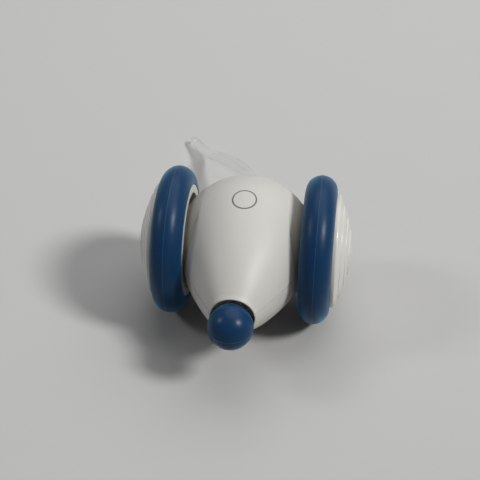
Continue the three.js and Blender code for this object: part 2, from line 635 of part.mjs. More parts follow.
function sideCover() {
  const inside = BODY_RADIUS - COVER_WALL;
  const innerFace = coverFace - COVER_WALL;
  const innerFaceRadius = Math.sqrt(inside ** 2 - innerFace ** 2);
  const boreRadius = bushRadius + SEAT_GAP;
  const { x, y } = idlerCentre;
  const profile = [
    [boreRadius, coverFace],
    ...arcPoints(BODY_RADIUS, COVER_FACE_RADIUS, coverRadius, COVER_ARC_STEPS),
    [coverRadius, collarInner + SEAT_GAP],
    [coverRadius - COVER_WALL, collarInner + SEAT_GAP],
    ...arcPoints(inside, coverRadius - COVER_WALL, innerFaceRadius, COVER_ARC_STEPS - 1),
    [BUSH_BOSS_RADIUS, innerFace],
    [BUSH_BOSS_RADIUS, coverBossEnd],
    [boreRadius, coverBossEnd],
  ];
  const pinBoss = rod(PIN_BOSS_RADIUS, coverBossEnd, coverFace - COVER_WALL / 2, PIN_FACETS, x, y);
  const pinBore = rod(
    IDLER_PIN_RADIUS + SEAT_GAP, coverBossEnd - CUT_OVERRUN, idlerPinEnd + SEAT_GAP, PIN_FACETS, x, y,
  );
  const screwBores = POSTS.map((post) => solid(rod(
    SCREW_RADIUS + SEAT_GAP, innerFace - CUT_OVERRUN, coverFace + CUT_OVERRUN, SCREW_FACETS, post.x, post.y,
  )));
  const cover = join(solid(ring(profile, COVER_FACETS)), solid(pinBoss));
  return geometryOf(cut(cover, solid(pinBore), ...screwBores));
}

// A screw with its point down and the underside of its head at zero
function screw(headRadius, length) {
  return turned([
    [0, SCREW_HEAD_HEIGHT],
    [headRadius, SCREW_HEAD_HEIGHT],
    [headRadius, 0],
    [SCREW_RADIUS, 0],
    [SCREW_RADIUS, -length],
    [0, -length],
  ], SCREW_FACETS);
}

// Wheels, about their own middle plane

// Half a facet's turn puts a flat of the faceted wheel on the floor
const wheelPhase = Math.PI / WHEEL_FACETS;

function tyre() {
  const beadRadius = rimSeatRadius + SEAT_GAP;
  const lipRadius = RIM_FLANGE_RADIUS + SEAT_GAP;
  const lipAngle = Math.acos((lipRadius - tyreRingRadius) / TYRE_SECTION_RADIUS);
  const tread = Array.from({ length: TYRE_ARC_STEPS + 1 }, (_, i) => {
    const angle = THREE.MathUtils.lerp(-lipAngle, lipAngle, i / TYRE_ARC_STEPS);
    return [tyreRingRadius + TYRE_SECTION_RADIUS * Math.cos(angle), TYRE_SECTION_RADIUS * Math.sin(angle)];
  });
  return ring([
    [beadRadius, -TYRE_BEAD_HALF_WIDTH],
    [lipRadius, -TYRE_BEAD_HALF_WIDTH],
    ...tread,
    [lipRadius, TYRE_BEAD_HALF_WIDTH],
    [beadRadius, TYRE_BEAD_HALF_WIDTH],
  ], WHEEL_FACETS, wheelPhase);
}

function wheelRim() {
  const drum = ring([
    [HUB_RADIUS - RIM_WALL, webInner],
    [rimInnerRadius, webInner],
    [rimInnerRadius, -flangeFace],
    [RIM_FLANGE_RADIUS, -flangeFace],
    [RIM_FLANGE_RADIUS, -seatHalfWidth],
    [rimSeatRadius, -seatHalfWidth],
    [rimSeatRadius, seatHalfWidth],
    [RIM_FLANGE_RADIUS, seatHalfWidth],
    [RIM_FLANGE_RADIUS, flangeFace],
    [rimInnerRadius, flangeFace],
    [rimInnerRadius, webOuter],
    [HUB_RADIUS - RIM_WALL, webOuter],
  ], WHEEL_FACETS, wheelPhase);
  const boreRadius = AXLE_RADIUS + SEAT_GAP;
  const hub = ring([
    [boreRadius, hubInner],
    [HUB_RADIUS, hubInner],
    [HUB_RADIUS, HUB_STAND],
    [boreRadius, HUB_STAND],
  ], BUSH_FACETS);
  return geometryOf(join(solid(drum), solid(hub)));
}

// A shallow dome in terraces, with a spigot that presses into the rim
function hubCap() {
  const crown = CAP_CROWN - CAP_STEP_SHARES.length * CAP_STEP;
  const domeRadius = (RIM_FLANGE_RADIUS ** 2 + crown ** 2) / (2 * crown);
  const dome = (radius) => CAP_EDGE_STAND + Math.sqrt(domeRadius ** 2 - radius ** 2) - domeRadius + crown;
  const spigotRadius = rimInnerRadius - SEAT_GAP;
  const terraces = CAP_STEP_SHARES.flatMap((share, i) => {
    const radius = share * RIM_FLANGE_RADIUS;
    const above = (CAP_STEP_SHARES.length - i) * CAP_STEP;
    return [
      [radius - CAP_STEP / 2, dome(radius) + above],
      [radius + CAP_STEP / 2, dome(radius) + above - CAP_STEP],
    ];
  });
  return turned([
    [0, CAP_EDGE_STAND + CAP_CROWN],
    ...terraces,
    [RIM_FLANGE_RADIUS, CAP_EDGE_STAND],
    [RIM_FLANGE_RADIUS, capSeat],
    [spigotRadius, capSeat],
    [spigotRadius, capSeat - CAP_SPIGOT_DEPTH],
    [spigotRadius - CAP_WALL, capSeat - CAP_SPIGOT_DEPTH],
    [spigotRadius - CAP_WALL, dome(spigotRadius) - CAP_WALL],
    [0, dome(0) - CAP_WALL],
  ], WHEEL_FACETS, wheelPhase);
}

function axle() {
  const from = plateInner - AXLE_BOSS_DEPTH;
  return turned([
    [0, from],
    [AXLE_RADIUS, from],
    [AXLE_RADIUS, axleEnd],
    [SCREW_RADIUS + SEAT_GAP, axleEnd],
    [SCREW_RADIUS + SEAT_GAP, axleEnd - WHEEL_SCREW_LENGTH],
    [0, axleEnd - WHEEL_SCREW_LENGTH],
  ], BUSH_FACETS);
}

function axleBush() {
  return ring([
    [AXLE_RADIUS + SEAT_GAP, coverBossEnd],
    [bushRadius, coverBossEnd],
    [bushRadius, coverFace + SEAT_GAP],
    [BUSH_FLANGE_RADIUS, coverFace + SEAT_GAP],
    [BUSH_FLANGE_RADIUS, bushEnd],
    [AXLE_RADIUS + SEAT_GAP, bushEnd],
  ], BUSH_FACETS);
}

// Gears

function gearShape(teeth, phase, boreRadius = 0) {
  const pitch = GEAR_MODULE * teeth / 2;
  const base = pitch * Math.cos(PRESSURE_ANGLE);
  const tip = pitch + ADDENDUM_SHARE * GEAR_MODULE;
  const root = pitch - DEDENDUM_SHARE * GEAR_MODULE;
  const involute = (radius) => {
    const angle = Math.acos(base / Math.max(radius, base));
    return Math.tan(angle) - angle;
  };
  const halfTooth = Math.PI / (2 * teeth) - TOOTH_BACKLASH / (2 * pitch);
  const flank = FLANK_SHARES.map((share) => {
    const radius = THREE.MathUtils.lerp(root, tip, share);
    return [radius, halfTooth + involute(pitch) - involute(radius)];
  });
  const outline = [];
  for (let tooth = 0; tooth < teeth; tooth++) {
    const middle = phase + 2 * Math.PI * tooth / teeth;
    flank.forEach(([radius, half]) => outline.push(polar(radius, middle - half)));
    [...flank].reverse().forEach(([radius, half]) => outline.push(polar(radius, middle + half)));
  }
  const shape = new THREE.Shape(outline);
  if (boreRadius > 0) {
    shape.holes.push(new THREE.Path().absarc(0, 0, boreRadius, 0, 2 * Math.PI));
  }
  return shape;
}

const FLANK_SHARES = [0, 1];

// Phase that puts a tooth space of the second gear on the line of centres where the first has a tooth
function meshPhase(firstTeeth, firstPhase, bearing, secondTeeth) {
  return bearing + Math.PI + (Math.PI - (firstPhase - bearing) * firstTeeth) / secondTeeth;
}

const idlerToMotorBearing = motorCentre.clone().sub(idlerCentre).angle();
const idlerPinionPhase = meshPhase(OUTPUT_TEETH, 0, idlerBearing, PINION_TEETH);
const motorPinionPhase = meshPhase(IDLER_WHEEL_TEETH, 0, idlerToMotorBearing, PINION_TEETH);

function outputGear() {
  const boreRadius = AXLE_RADIUS + SEAT_GAP;
  const gear = prism(gearShape(OUTPUT_TEETH, 0, boreRadius), SECOND_STAGE_FACE);
  const spacerStart = plateOuter + SEAT_GAP - secondStageStart;
  const spacer = ring([
    [boreRadius, spacerStart],
    [bushRadius, spacerStart],
    [bushRadius, SECOND_STAGE_FACE],
    [boreRadius, SECOND_STAGE_FACE],
  ], PIN_FACETS);
  return geometryOf(join(solid(gear), solid(spacer)));
}

function idlerGear() {
  const wheel = prism(gearShape(IDLER_WHEEL_TEETH, 0), FIRST_STAGE_FACE);
  const height = secondStageEnd - firstStageStart;
  const pinion = prism(gearShape(PINION_TEETH, idlerPinionPhase), height);
  const bore = rod(IDLER_PIN_RADIUS + SEAT_GAP, -CUT_OVERRUN, height + CUT_OVERRUN, PIN_FACETS);
  return geometryOf(cut(join(solid(wheel), solid(pinion)), solid(bore)));
}

// The pinion with the rotor's shaft, whose inner end runs in the motor's nose
function motorPinion() {
  const pinion = prism(gearShape(PINION_TEETH, motorPinionPhase), FIRST_STAGE_FACE);
  const shaftStart = MOTOR_LENGTH / 2 - ROTOR_SHAFT_SUNK + SEAT_GAP - firstStageStart;
  const shaft = rod(ROTOR_SHAFT_RADIUS, shaftStart, FIRST_STAGE_FACE + SEAT_GAP, SCREW_FACETS);
  return geometryOf(join(solid(pinion), solid(shaft)));
}

// Motors: a can with two flats, and a boss on its nose that seats in the gear plate

function motor() {
  const flatAngle = Math.asin(MOTOR_HALF_HEIGHT / MOTOR_RADIUS);
  const shape = new THREE.Shape();
  shape.absarc(0, 0, MOTOR_RADIUS, -flatAngle, flatAngle);
  shape.absarc(0, 0, MOTOR_RADIUS, Math.PI - flatAngle, Math.PI + flatAngle);
  const can = prism(shape, MOTOR_LENGTH, PIN_FACETS).translate(0, 0, -MOTOR_LENGTH / 2);
  const nose = rod(MOTOR_NOSE_RADIUS, 0, MOTOR_LENGTH / 2 + MOTOR_NOSE_LENGTH, PIN_FACETS);
  const bore = rod(
    ROTOR_SHAFT_RADIUS + SEAT_GAP, MOTOR_LENGTH / 2 - ROTOR_SHAFT_SUNK, MOTOR_LENGTH, SCREW_FACETS,
  );
  return geometryOf(cut(join(solid(can), solid(nose)), solid(bore)));
}

// Chassis: two gear plates on a tray, with posts for the flank covers, a cross wall that holds the
// battery, arms for the lamp board and a neck that carries the nose switch

function chassis() {
  const added = [];
  const removed = [];
  SIDES.forEach((side) => {
    const add = (geometry) => added.push(solid(onSide(geometry, side)));
    const remove = (geometry) => removed.push(solid(onSide(geometry, side)));
    const through = (radius, { x, y }, facets) => remove(
      rod(radius, plateInner - CUT_OVERRUN, plateOuter + CUT_OVERRUN, facets, x, y),
    );
    add(rod(PLATE_RADIUS, plateInner, plateOuter, COVER_FACETS));
    add(rod(AXLE_BOSS_RADIUS, plateInner - AXLE_BOSS_DEPTH, plateOuter));
    POSTS.forEach(({ x, y }) => {
      const end = coverFace - COVER_WALL - SEAT_GAP;
      add(rod(POST_RADIUS, plateInner, end, PIN_FACETS, x, y));
      remove(rod(SCREW_RADIUS + SEAT_GAP, coverFace - SCREW_LENGTH, end + CUT_OVERRUN, SCREW_FACETS, x, y));
    });
    through(AXLE_RADIUS + SEAT_GAP, { x: 0, y: 0 }, BUSH_FACETS);
    through(MOTOR_NOSE_RADIUS + SEAT_GAP, motorCentre, PIN_FACETS);
    through(IDLER_PIN_RADIUS + SEAT_GAP, idlerCentre, PIN_FACETS);
    add(span([0, ledBoardBackY], [-ARM_HALF_HEIGHT, ARM_HALF_HEIGHT], [plateInner, plateOuter]));
  });
  const underTray = solid(span(
    [-PLATE_RADIUS, PLATE_RADIUS], [-PLATE_RADIUS, PLATE_RADIUS], [-2 * PLATE_RADIUS, trayBottom],
  ));
  const wide = [-plateOuter, plateOuter];
  const tray = solid(rod(TRAY_RADIUS, trayBottom, trayTop, COVER_FACETS)).intersect(
    solid(span(wide, [-TRAY_RADIUS, TRAY_RADIUS], [trayBottom - CUT_OVERRUN, trayTop + CUT_OVERRUN])),
  );
  const neck = solid(span(
    [-NECK_HALF_WIDTH, NECK_HALF_WIDTH], [bracketFrontY, crossWallFrontY], [trayBottom, trayTop],
  ));
  const bracket = solid(span(
    [-BRACKET_HALF_WIDTH, BRACKET_HALF_WIDTH], [bracketFrontY, bracketBackY], [trayBottom, BRACKET_RISE],
  ));
  const crossWall = solid(span(
    wide, [crossWallFrontY, crossWallFrontY + CROSS_WALL_THICKNESS], [trayBottom, 0],
  ));
  const standoffs = STANDOFFS.map(([x, y]) => upright(POST_RADIUS, boardTop + SEAT_GAP, trayTop, x, y));
  const boardBores = BOARD_SCREWS.map(([x, y]) => upright(
    SCREW_RADIUS + SEAT_GAP, boardBottom, trayTop + CUT_OVERRUN, x, y, SCREW_FACETS,
  ));
  const trayBores = TRAY_SCREWS.map(([x, y]) => upright(
    SCREW_RADIUS + SEAT_GAP, trayBottom - CUT_OVERRUN, trayTop + CUT_OVERRUN, x, y, SCREW_FACETS,
  ));
  const pegBores = TRAY_PEGS.map(([x, y]) => upright(
    PEG_RADIUS + SEAT_GAP, trayBottom - CUT_OVERRUN, trayTop + CUT_OVERRUN, x, y,
  ));
  const plates = cut(join(...added), underTray);
  const frame = join(plates, tray, neck, bracket, crossWall, ...standoffs);
  return geometryOf(cut(frame, ...removed, ...boardBores, ...trayBores, ...pegBores));
}

const standoffX = BOARD_SIZE[0] / 2 - STANDOFF_INSET;
const standoffY = BOARD_SIZE[1] / 2 - STANDOFF_INSET;
const BOARD_SCREWS = [[standoffX, -standoffY], [-standoffX, standoffY]];
const STANDOFFS = [...BOARD_SCREWS, [-standoffX, -standoffY], [standoffX, standoffY]];

// Boards, battery, switches and port

function mainBoard() {
  const [width, depth, thickness] = BOARD_SIZE;
  const board = solid(block(BOARD_SIZE, [0, 0, boardTop - thickness / 2]));
  const chip = solid(block(
    [CHIP_SIZE[0], CHIP_SIZE[1], CHIP_SIZE[2] + thickness / 2],
    [0, -depth / 4, boardTop + (CHIP_SIZE[2] - thickness / 2) / 2],
  ));
  const switchBody = solid(block(
    [SWITCH_BODY, SWITCH_BODY, SWITCH_HEIGHT + thickness / 2],
    [0, 0, boardBottom + (thickness / 2 - SWITCH_HEIGHT) / 2],
  ));
  const stem = upright(SWITCH_STEM_RADIUS, buttonSwitchTip, boardBottom - SWITCH_HEIGHT / 2, 0, 0);
  const bores = BOARD_SCREWS.map(([x, y]) => upright(
    SCREW_RADIUS + SEAT_GAP, boardBottom - CUT_OVERRUN, boardTop + CUT_OVERRUN, x, y, SCREW_FACETS,
  ));
  return geometryOf(cut(join(board, chip, switchBody, stem), ...bores));
}

const buttonSwitchTip = boardBottom - SWITCH_HEIGHT - SWITCH_STEM_HEIGHT;

function battery() {
  const [width, depth, height] = BATTERY_SIZE;
  const cell = prism(roundedShape(width, depth, BATTERY_EDGE), height, BATTERY_CORNER_STEPS);
  return closed(cell);
}

// A pressed shell open at its mouth, with the tongue inside
function usbPort() {
  const outline = (inset) => roundedShape(
    PORT_WIDTH - 2 * inset, PORT_HEIGHT - 2 * inset, PORT_HEIGHT / 2 - inset - WELD,
  );
  const skin = solid(prism(outline(0), PORT_DEPTH, PORT_CORNER_STEPS));
  const hollow = solid(prism(outline(PORT_SKIN), PORT_DEPTH, PORT_CORNER_STEPS).translate(0, 0, PORT_SKIN));
  const tongue = solid(block(PORT_TONGUE, [0, 0, PORT_TONGUE[2] / 2]));
  return geometryOf(join(cut(skin, hollow), tongue));
}

function ledBoard() {
  const board = solid(block(LED_BOARD_SIZE, [0, (ledBoardFrontY + ledBoardBackY) / 2, 0]));
  const lamp = solid(span(
    [-LED_SIZE[0] / 2, LED_SIZE[0] / 2], [ledBoardFrontY, ledBackY], [-LED_SIZE[2] / 2, LED_SIZE[2] / 2],
  ));
  return geometryOf(join(board, lamp));
}

function powerButton() {
  const flangeBottom = bellyPadTop + SEAT_GAP;
  const flangeTop = flangeBottom + BUTTON_FLANGE_THICKNESS;
  return turned([
    [0, bellyFlat - BUTTON_STAND],
    [BUTTON_RADIUS, bellyFlat - BUTTON_STAND],
    [BUTTON_RADIUS, flangeBottom],
    [BUTTON_FLANGE_RADIUS, flangeBottom],
    [BUTTON_FLANGE_RADIUS, flangeTop],
    [BUTTON_STEM_RADIUS, flangeTop],
    [BUTTON_STEM_RADIUS, buttonSwitchTip - SEAT_GAP - BUTTON_TRAVEL],
    [0, buttonSwitchTip - SEAT_GAP - BUTTON_TRAVEL],
  ], BUSH_FACETS);
}

// Nose

function noseArc(radius, mouthRadius, steps) {
  const end = Math.PI - Math.asin(mouthRadius / radius);
  return Array.from({ length: steps + 1 }, (_, i) => {
    const angle = end * i / steps;
    return [radius * Math.sin(angle), noseY - radius * Math.cos(angle)];
  });
}

function noseBall() {
  const outside = noseArc(NOSE_BALL_RADIUS, NOSE_BALL_MOUTH_RADIUS, NOSE_ARC_STEPS);
  const inside = noseArc(NOSE_BALL_RADIUS - NOSE_BALL_WALL, NOSE_BALL_MOUTH_RADIUS, NOSE_ARC_STEPS);
  return turned([...outside, ...inside.reverse()], NOSE_FACETS);
}

const bulb = noseArc(NOSE_BALL_RADIUS - NOSE_BALL_WALL - 2 * SEAT_GAP, SPRING_SEAT_RADIUS, BULB_ARC_STEPS);
const springSeatY = bulb.at(-1)[1] + SPRING_SEAT_THICKNESS;

function nosePlunger() {
  return turned([
    ...bulb,
    [SPRING_SEAT_RADIUS, springSeatY],
    [NOSE_STEM_RADIUS, springSeatY],
    [NOSE_STEM_RADIUS, bulkheadBackY + SEAT_GAP],
    [STOP_RADIUS, bulkheadBackY + SEAT_GAP],
    [STOP_RADIUS, stopBackY],
    [NOSE_STEM_RADIUS, stopBackY],
    [NOSE_STEM_RADIUS, stemEndY],
    [0, stemEndY],
  ], BUSH_FACETS);
}

class Helix extends THREE.Curve {
  constructor(radius, turns, from, to) {
    super();
    Object.assign(this, { radius, turns, from, to });
  }

  getPoint(t, target = new THREE.Vector3()) {
    const angle = 2 * Math.PI * this.turns * t;
    const along = THREE.MathUtils.lerp(this.from, this.to, t);
    return target.set(this.radius * Math.cos(angle), this.radius * Math.sin(angle), along);
  }
}

function noseSpring() {
  const clear = SEAT_GAP + SPRING_WIRE_RADIUS;
  const coilRadius = (NOSE_STEM_RADIUS + SPRING_SEAT_RADIUS) / 2;
  const path = new Helix(coilRadius, SPRING_TURNS, springSeatY + clear, bulkheadFrontY - clear);
  const section = new THREE.Shape(Array.from({ length: SPRING_SIDES }, (_, i) => (
    polar(SPRING_WIRE_RADIUS, 2 * Math.PI * i / SPRING_SIDES)
  )));
  const steps = SPRING_TURNS * SPRING_STEPS_PER_TURN;
  return closed(new THREE.ExtrudeGeometry(section, { extrudePath: path, steps, bevelEnabled: false }));
}

function noseSwitch() {
  const half = SWITCH_BODY / 2;
  const housing = solid(span([-half, half], [-half, half], [0, SWITCH_HEIGHT]));
  const stem = solid(rod(SWITCH_STEM_RADIUS, -SWITCH_STEM_HEIGHT, SWITCH_HEIGHT / 2, PIN_FACETS));
  return geometryOf(join(housing, stem));
}

// Tail

function tail() {
  const route = new THREE.CatmullRomCurve3([
    new THREE.Vector3(0, tailFlangeBackY, 0),
    new THREE.Vector3(0, collarMouthY + COLLAR_DEPTH, 0),
    ...TAIL_REACH_SHARES.map((share, i) => new THREE.Vector3(
      -TAIL_SWEEP * TAIL_SWEEP_SHARES[i], TAIL_REACH * share, -tailDrop * TAIL_DROP_SHARES[i],
    )),
  ]);
  const rings = [[TAIL_FLANGE_RADIUS, tailFlangeFrontY], [TAIL_FLANGE_RADIUS, tailFlangeBackY]].map(
    ([radius, y]) => tailRing(new THREE.Vector3(0, y, 0), new THREE.Vector3(0, 1, 0), radius),
  );
  for (let i = 0; i <= TAIL_STEPS; i++) {
    const share = i / TAIL_STEPS;
    const radius = THREE.MathUtils.lerp(TAIL_ROOT_RADIUS, TAIL_TIP_RADIUS, share);
    const middle = route.getPointAt(share);
    middle.z = Math.max(middle.z, radius - floorDrop);
    rings.push(tailRing(middle, route.getTangentAt(share), radius));
  }
  const [end, along] = [route.getPointAt(1), route.getTangentAt(1)];
  for (let i = 1; i <= TAIL_TIP_STEPS; i++) {
    const angle = Math.PI / 2 * i / (TAIL_TIP_STEPS + 0.5);
    const middle = end.clone().addScaledVector(along, TAIL_TIP_RADIUS * Math.sin(angle));
    rings.push(tailRing(middle, along, TAIL_TIP_RADIUS * Math.cos(angle)));
  }
  return loft(rings);
}

const tailDrop = floorDrop - TAIL_TIP_RADIUS;

function tailRing(middle, along, radius) {
  const across = new THREE.Vector3().crossVectors(along, new THREE.Vector3(0, 0, 1)).normalize();
  const up = new THREE.Vector3().crossVectors(across, along);
  return Array.from({ length: TAIL_SIDES }, (_, j) => {
    const angle = 2 * Math.PI * j / TAIL_SIDES;
    return middle.clone()
      .addScaledVector(across, radius * Math.cos(angle))
      .addScaledVector(up, radius * Math.sin(angle));
  });
}

function tailCollar() {
  const [bore, outside] = [TAIL_ROOT_RADIUS + SEAT_GAP, TAIL_ROOT_RADIUS + SEAT_GAP + COLLAR_WALL];
  const seat = collarMouthY + SEAT_GAP;
  return ring([
    [bore, collarInnerY],
    [outside, collarInnerY],
    [outside, seat],
    [COLLAR_FLANGE_RADIUS, seat],
    [COLLAR_FLANGE_RADIUS - COLLAR_FLANGE_THICKNESS / 2, seat + COLLAR_FLANGE_THICKNESS],
    [bore, seat + COLLAR_FLANGE_THICKNESS],
  ], BUSH_FACETS);
}

// Assembly

const toy = new THREE.Group();
const pieces = new THREE.Group();
toy.add(pieces);

// Round pieces whose Z runs from nose to tail
const lengthwise = new THREE.Group();
lengthwise.rotation.x = -Math.PI / 2;
pieces.add(lengthwise);

function place(parent, name, geometry, material, x = 0, y = 0, z = 0) {
  const mesh = new THREE.Mesh(geometry, material);
  mesh.name = name;
  mesh.position.set(x, y, z);
  parent.add(mesh);
  return mesh;
}

function placeSide(side) {
  const group = new THREE.Group();
  group.setRotationFromMatrix(side.turn);
  pieces.add(group);
  const wheel = new THREE.Group();
  wheel.position.z = wheelMid;
  group.add(wheel);
  const sided = (name) => `${side.name}_${name}`;
  place(wheel, sided('tyre'), tyre(), TYRE_BLUE);
  place(wheel, sided('wheel_rim'), wheelRim(), WHITE);
  place(wheel, sided('hub_cap'), hubCap(), WHITE);
  const wheelScrew = screw(WHEEL_SCREW_HEAD_RADIUS, WHEEL_SCREW_LENGTH - SEAT_GAP);
  place(wheel, sided('wheel_screw'), wheelScrew, STEEL, 0, 0, HUB_STAND + SEAT_GAP);
  place(group, sided('side_cover'), sideCover(), DARK_WHITE);
  POSTS.forEach(({ x, y }, i) => {
    const coverScrew = screw(SCREW_HEAD_RADIUS, SCREW_LENGTH);
    place(group, sided(`cover_screw_${i + 1}`), coverScrew, STEEL, x, y, coverFace + SEAT_GAP);
  });
  place(group, sided('axle'), axle(), STEEL);
  place(group, sided('axle_bush'), axleBush(), BRASS);
  place(group, sided('output_gear'), outputGear(), GEAR_WHITE, 0, 0, secondStageStart);
  place(group, sided('idler_gear'), idlerGear(), GEAR_WHITE, idlerCentre.x, idlerCentre.y, firstStageStart);
  const idlerPin = rod(IDLER_PIN_RADIUS, plateInner, idlerPinEnd, PIN_FACETS);
  place(group, sided('idler_pin'), idlerPin, STEEL, idlerCentre.x, idlerCentre.y);
  place(group, sided('motor_pinion'), motorPinion(), BRASS, motorCentre.x, motorCentre.y, firstStageStart);
  place(group, sided('motor'), motor(), STEEL, motorCentre.x, motorCentre.y);
}

// Screws that go in from below hang head down
function placeScrewsFromBelow(name, places, head, length) {
  places.forEach(([x, y], i) => {
    const mesh = place(pieces, `${name}_${i + 1}`, screw(SCREW_HEAD_RADIUS, length), STEEL, x, y, head);
    mesh.rotation.x = Math.PI;
  });
}

place(pieces, 'upper_shell', geometryOf(upperShell()), WHITE);
place(pieces, 'lower_shell', geometryOf(lowerShell()), WHITE);
SIDES.forEach(placeSide);
place(pieces, 'chassis', chassis(), FRAME_GREY);
place(pieces, 'main_board', mainBoard(), BOARD_GREEN);
placeScrewsFromBelow('board_screw', BOARD_SCREWS, boardBottom - SEAT_GAP, BOARD_SCREW_LENGTH);
placeScrewsFromBelow('shell_screw', PILLARS, shellScrewSeat - SEAT_GAP, SHELL_SCREW_LENGTH);
TRAY_SCREWS.forEach(([x, y], i) => {
  const trayScrew = screw(SCREW_HEAD_RADIUS, SCREW_LENGTH - 2 * SEAT_GAP);
  place(pieces, `chassis_screw_${i + 1}`, trayScrew, STEEL, x, y, trayTop + SEAT_GAP);
});
place(pieces, 'battery', battery(), CELL_SILVER, 0, batteryFrontY + BATTERY_SIZE[1] / 2, trayTop + SEAT_GAP);
place(pieces, 'led_board', ledBoard(), BOARD_GREEN);
place(pieces, 'power_button', powerButton(), TYRE_BLUE);
place(lengthwise, 'usb_port', usbPort(), STEEL, 0, -portMiddle, portMouthY - PORT_DEPTH);
place(lengthwise, 'nose_ball', noseBall(), TYRE_BLUE);
place(lengthwise, 'nose_plunger', nosePlunger(), FRAME_GREY);
place(lengthwise, 'nose_spring', noseSpring(), STEEL);
place(lengthwise, 'nose_switch', noseSwitch(), SWITCH_BLACK, 0, 0, noseSwitchFrontY);
place(lengthwise, 'tail_collar', tailCollar(), WHITE);
place(pieces, 'tail', tail(), CLEAR);

// The origin is on the floor, under the middle of the whole toy
const extent = new THREE.Box3().setFromObject(pieces);
pieces.position.set(0, -(extent.min.y + extent.max.y) / 2, floorDrop);

export default toy;
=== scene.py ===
"""A self-driving cat toy in the form of a mouse: white egg body, two domed wheels with blue
tyres, a blue ball nose and a clear tail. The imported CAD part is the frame, and this script gives
it its looks."""

import math

import bpy
from mathutils import Matrix, Vector


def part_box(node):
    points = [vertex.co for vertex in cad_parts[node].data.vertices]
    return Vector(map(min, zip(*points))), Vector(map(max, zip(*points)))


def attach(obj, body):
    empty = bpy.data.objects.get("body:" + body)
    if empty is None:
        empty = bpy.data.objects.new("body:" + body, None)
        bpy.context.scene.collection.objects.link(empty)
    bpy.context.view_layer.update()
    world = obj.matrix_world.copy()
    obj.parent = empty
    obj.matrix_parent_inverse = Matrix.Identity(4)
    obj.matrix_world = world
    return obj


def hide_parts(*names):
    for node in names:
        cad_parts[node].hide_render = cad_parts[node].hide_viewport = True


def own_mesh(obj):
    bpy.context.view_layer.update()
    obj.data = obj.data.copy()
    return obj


MM = 0.001

# Facets round the turned pieces and the shells
WHEEL_SEGMENTS = 128
SMALL_SEGMENTS = 48
SHELL_SEGMENTS = 144
POLE_RADIUS = 0.03 * MM
WELD = 0.001 * MM
EASING_SHARE = 0.4
CUT_OVERRUN = 4 * MM
KEEP_REACH = 1

# Body: a ball round the axle's middle, drawn out to the nose rim
BODY_RADIUS = 28.6 * MM
BODY_WALL = 1.8 * MM
NOSE_RIM_REACH = 45.5 * MM
NOSE_RIM_RADIUS = 8.9 * MM
NOSE_RIM_WALL = 0.8 * MM
PLAN_ARC_RADIUS = 160 * MM
SIDE_ARC_RADIUS = 90 * MM
BALL_END_ANGLE = math.radians(112)
BALL_STEPS = 44
SNOUT_STEPS = 22
LIP_STEPS = 8
PARTING_RISE = 2 * MM
PARTING_GAP = 0.3 * MM
PARTING_EDGE = 0.3 * MM
TONGUE_HEIGHT = 1.3 * MM
TONGUE_INSETS = (1.1 * MM, 1.75 * MM)
REBATE_INSETS = (0.8 * MM, 2.1 * MM)
WALL_END_INSET = 0.9 * MM
FLANK_BORE_RADIUS = 22.3 * MM
COLLAR_RING_RADIUS = 23.9 * MM
BULKHEAD_SETBACK = 7.2 * MM
BULKHEAD_THICKNESS = 2.1 * MM
NOSE_STEM_BORE = 2.7 * MM
FLANK_CUT_DEPTH = 2 * MM
LAP_CUT_DEPTH = 1 * MM
WALL_HALF_RIM = NOSE_RIM_RADIUS - NOSE_RIM_WALL / 2

# Belly pad, and the wells down which the shell screws are driven, as drops below the axle
BELLY_PAD = 2.1 * MM
BELLY_PAD_RADIUS = 8 * MM
BELLY_PAD_ROOT_RADIUS = 9 * MM
BUTTON_BORE = 3.5 * MM
WELL_RADIUS = 1.9 * MM
PILLAR_RADIUS = 2.3 * MM
PILLAR_JOINT_DROP = 7 * MM
SCREW_SEAT_DROP = 9.1 * MM
WELL_CUT_DROP = 10 * MM
WELL_END_DROP = 20 * MM
WELL_TRIM_INSET = 0.6 * MM

# Flank covers
COVER_WALL = 1.8 * MM
COVER_FACE_RADIUS = 15.2 * MM
COVER_EDGE = 0.25 * MM
COVER_STEPS = (10, 8)
BUSH_BOSS_RADIUS = 5.4 * MM
BUSH_BOSS_WALL = 1.6 * MM

# Wheels
TYRE_SECTION_RADIUS = 6.5 * MM
TYRE_BEAD_HALF_WIDTH = 5 * MM
TYRE_LINE_WIDTH = 0.3 * MM
TYRE_LINE_HEIGHT = 0.05 * MM
TYRE_STEPS = 26
TYRE_LINE_STEPS = 3
RIM_SEAT_DEPTH = 1.6 * MM
RIM_WALL = 1.8 * MM
RIM_FLANGE_WIDTH = 1.1 * MM
RIM_EDGE = 0.35 * MM
WEB_CLEARANCE = 1.4 * MM
WEB_THICKNESS = 1.8 * MM
HUB_RADIUS = 5.2 * MM
HUB_GAP = 0.5 * MM
CAP_EDGE_STAND = 8 * MM
CAP_STEP = 0.3 * MM
CAP_STEP_SHARES = (0.41, 0.62, 0.83)
CAP_WALL = 1.5 * MM
CAP_EDGE = 0.9 * MM
CAP_EDGE_STEPS = 8
CAP_TERRACE_STEPS = 12
CAP_CORNER = 0.08 * MM
CAP_SHARP = math.radians(20)
CAP_JOINT = 0.1 * MM
SEAT_GAP = 0.3 * MM

# Nose
NOSE_BALL_WALL = 1.6 * MM
NOSE_STEPS = 30
NOSE_SEAM_STEPS = 2
NOSE_HOLLOW_STEPS = 24
NOSE_MOUTH_RADIUS = 5 * MM
NOSE_SEAM_WIDTH = 0.3 * MM
NOSE_SEAM_HEIGHT = 0.07 * MM
SPRING_WIRE_RADIUS = 0.35 * MM
SPRING_TURNS = 4
SPRING_STEPS = 32
SPRING_RESOLUTION = 6
WIRE_RESOLUTION = 10

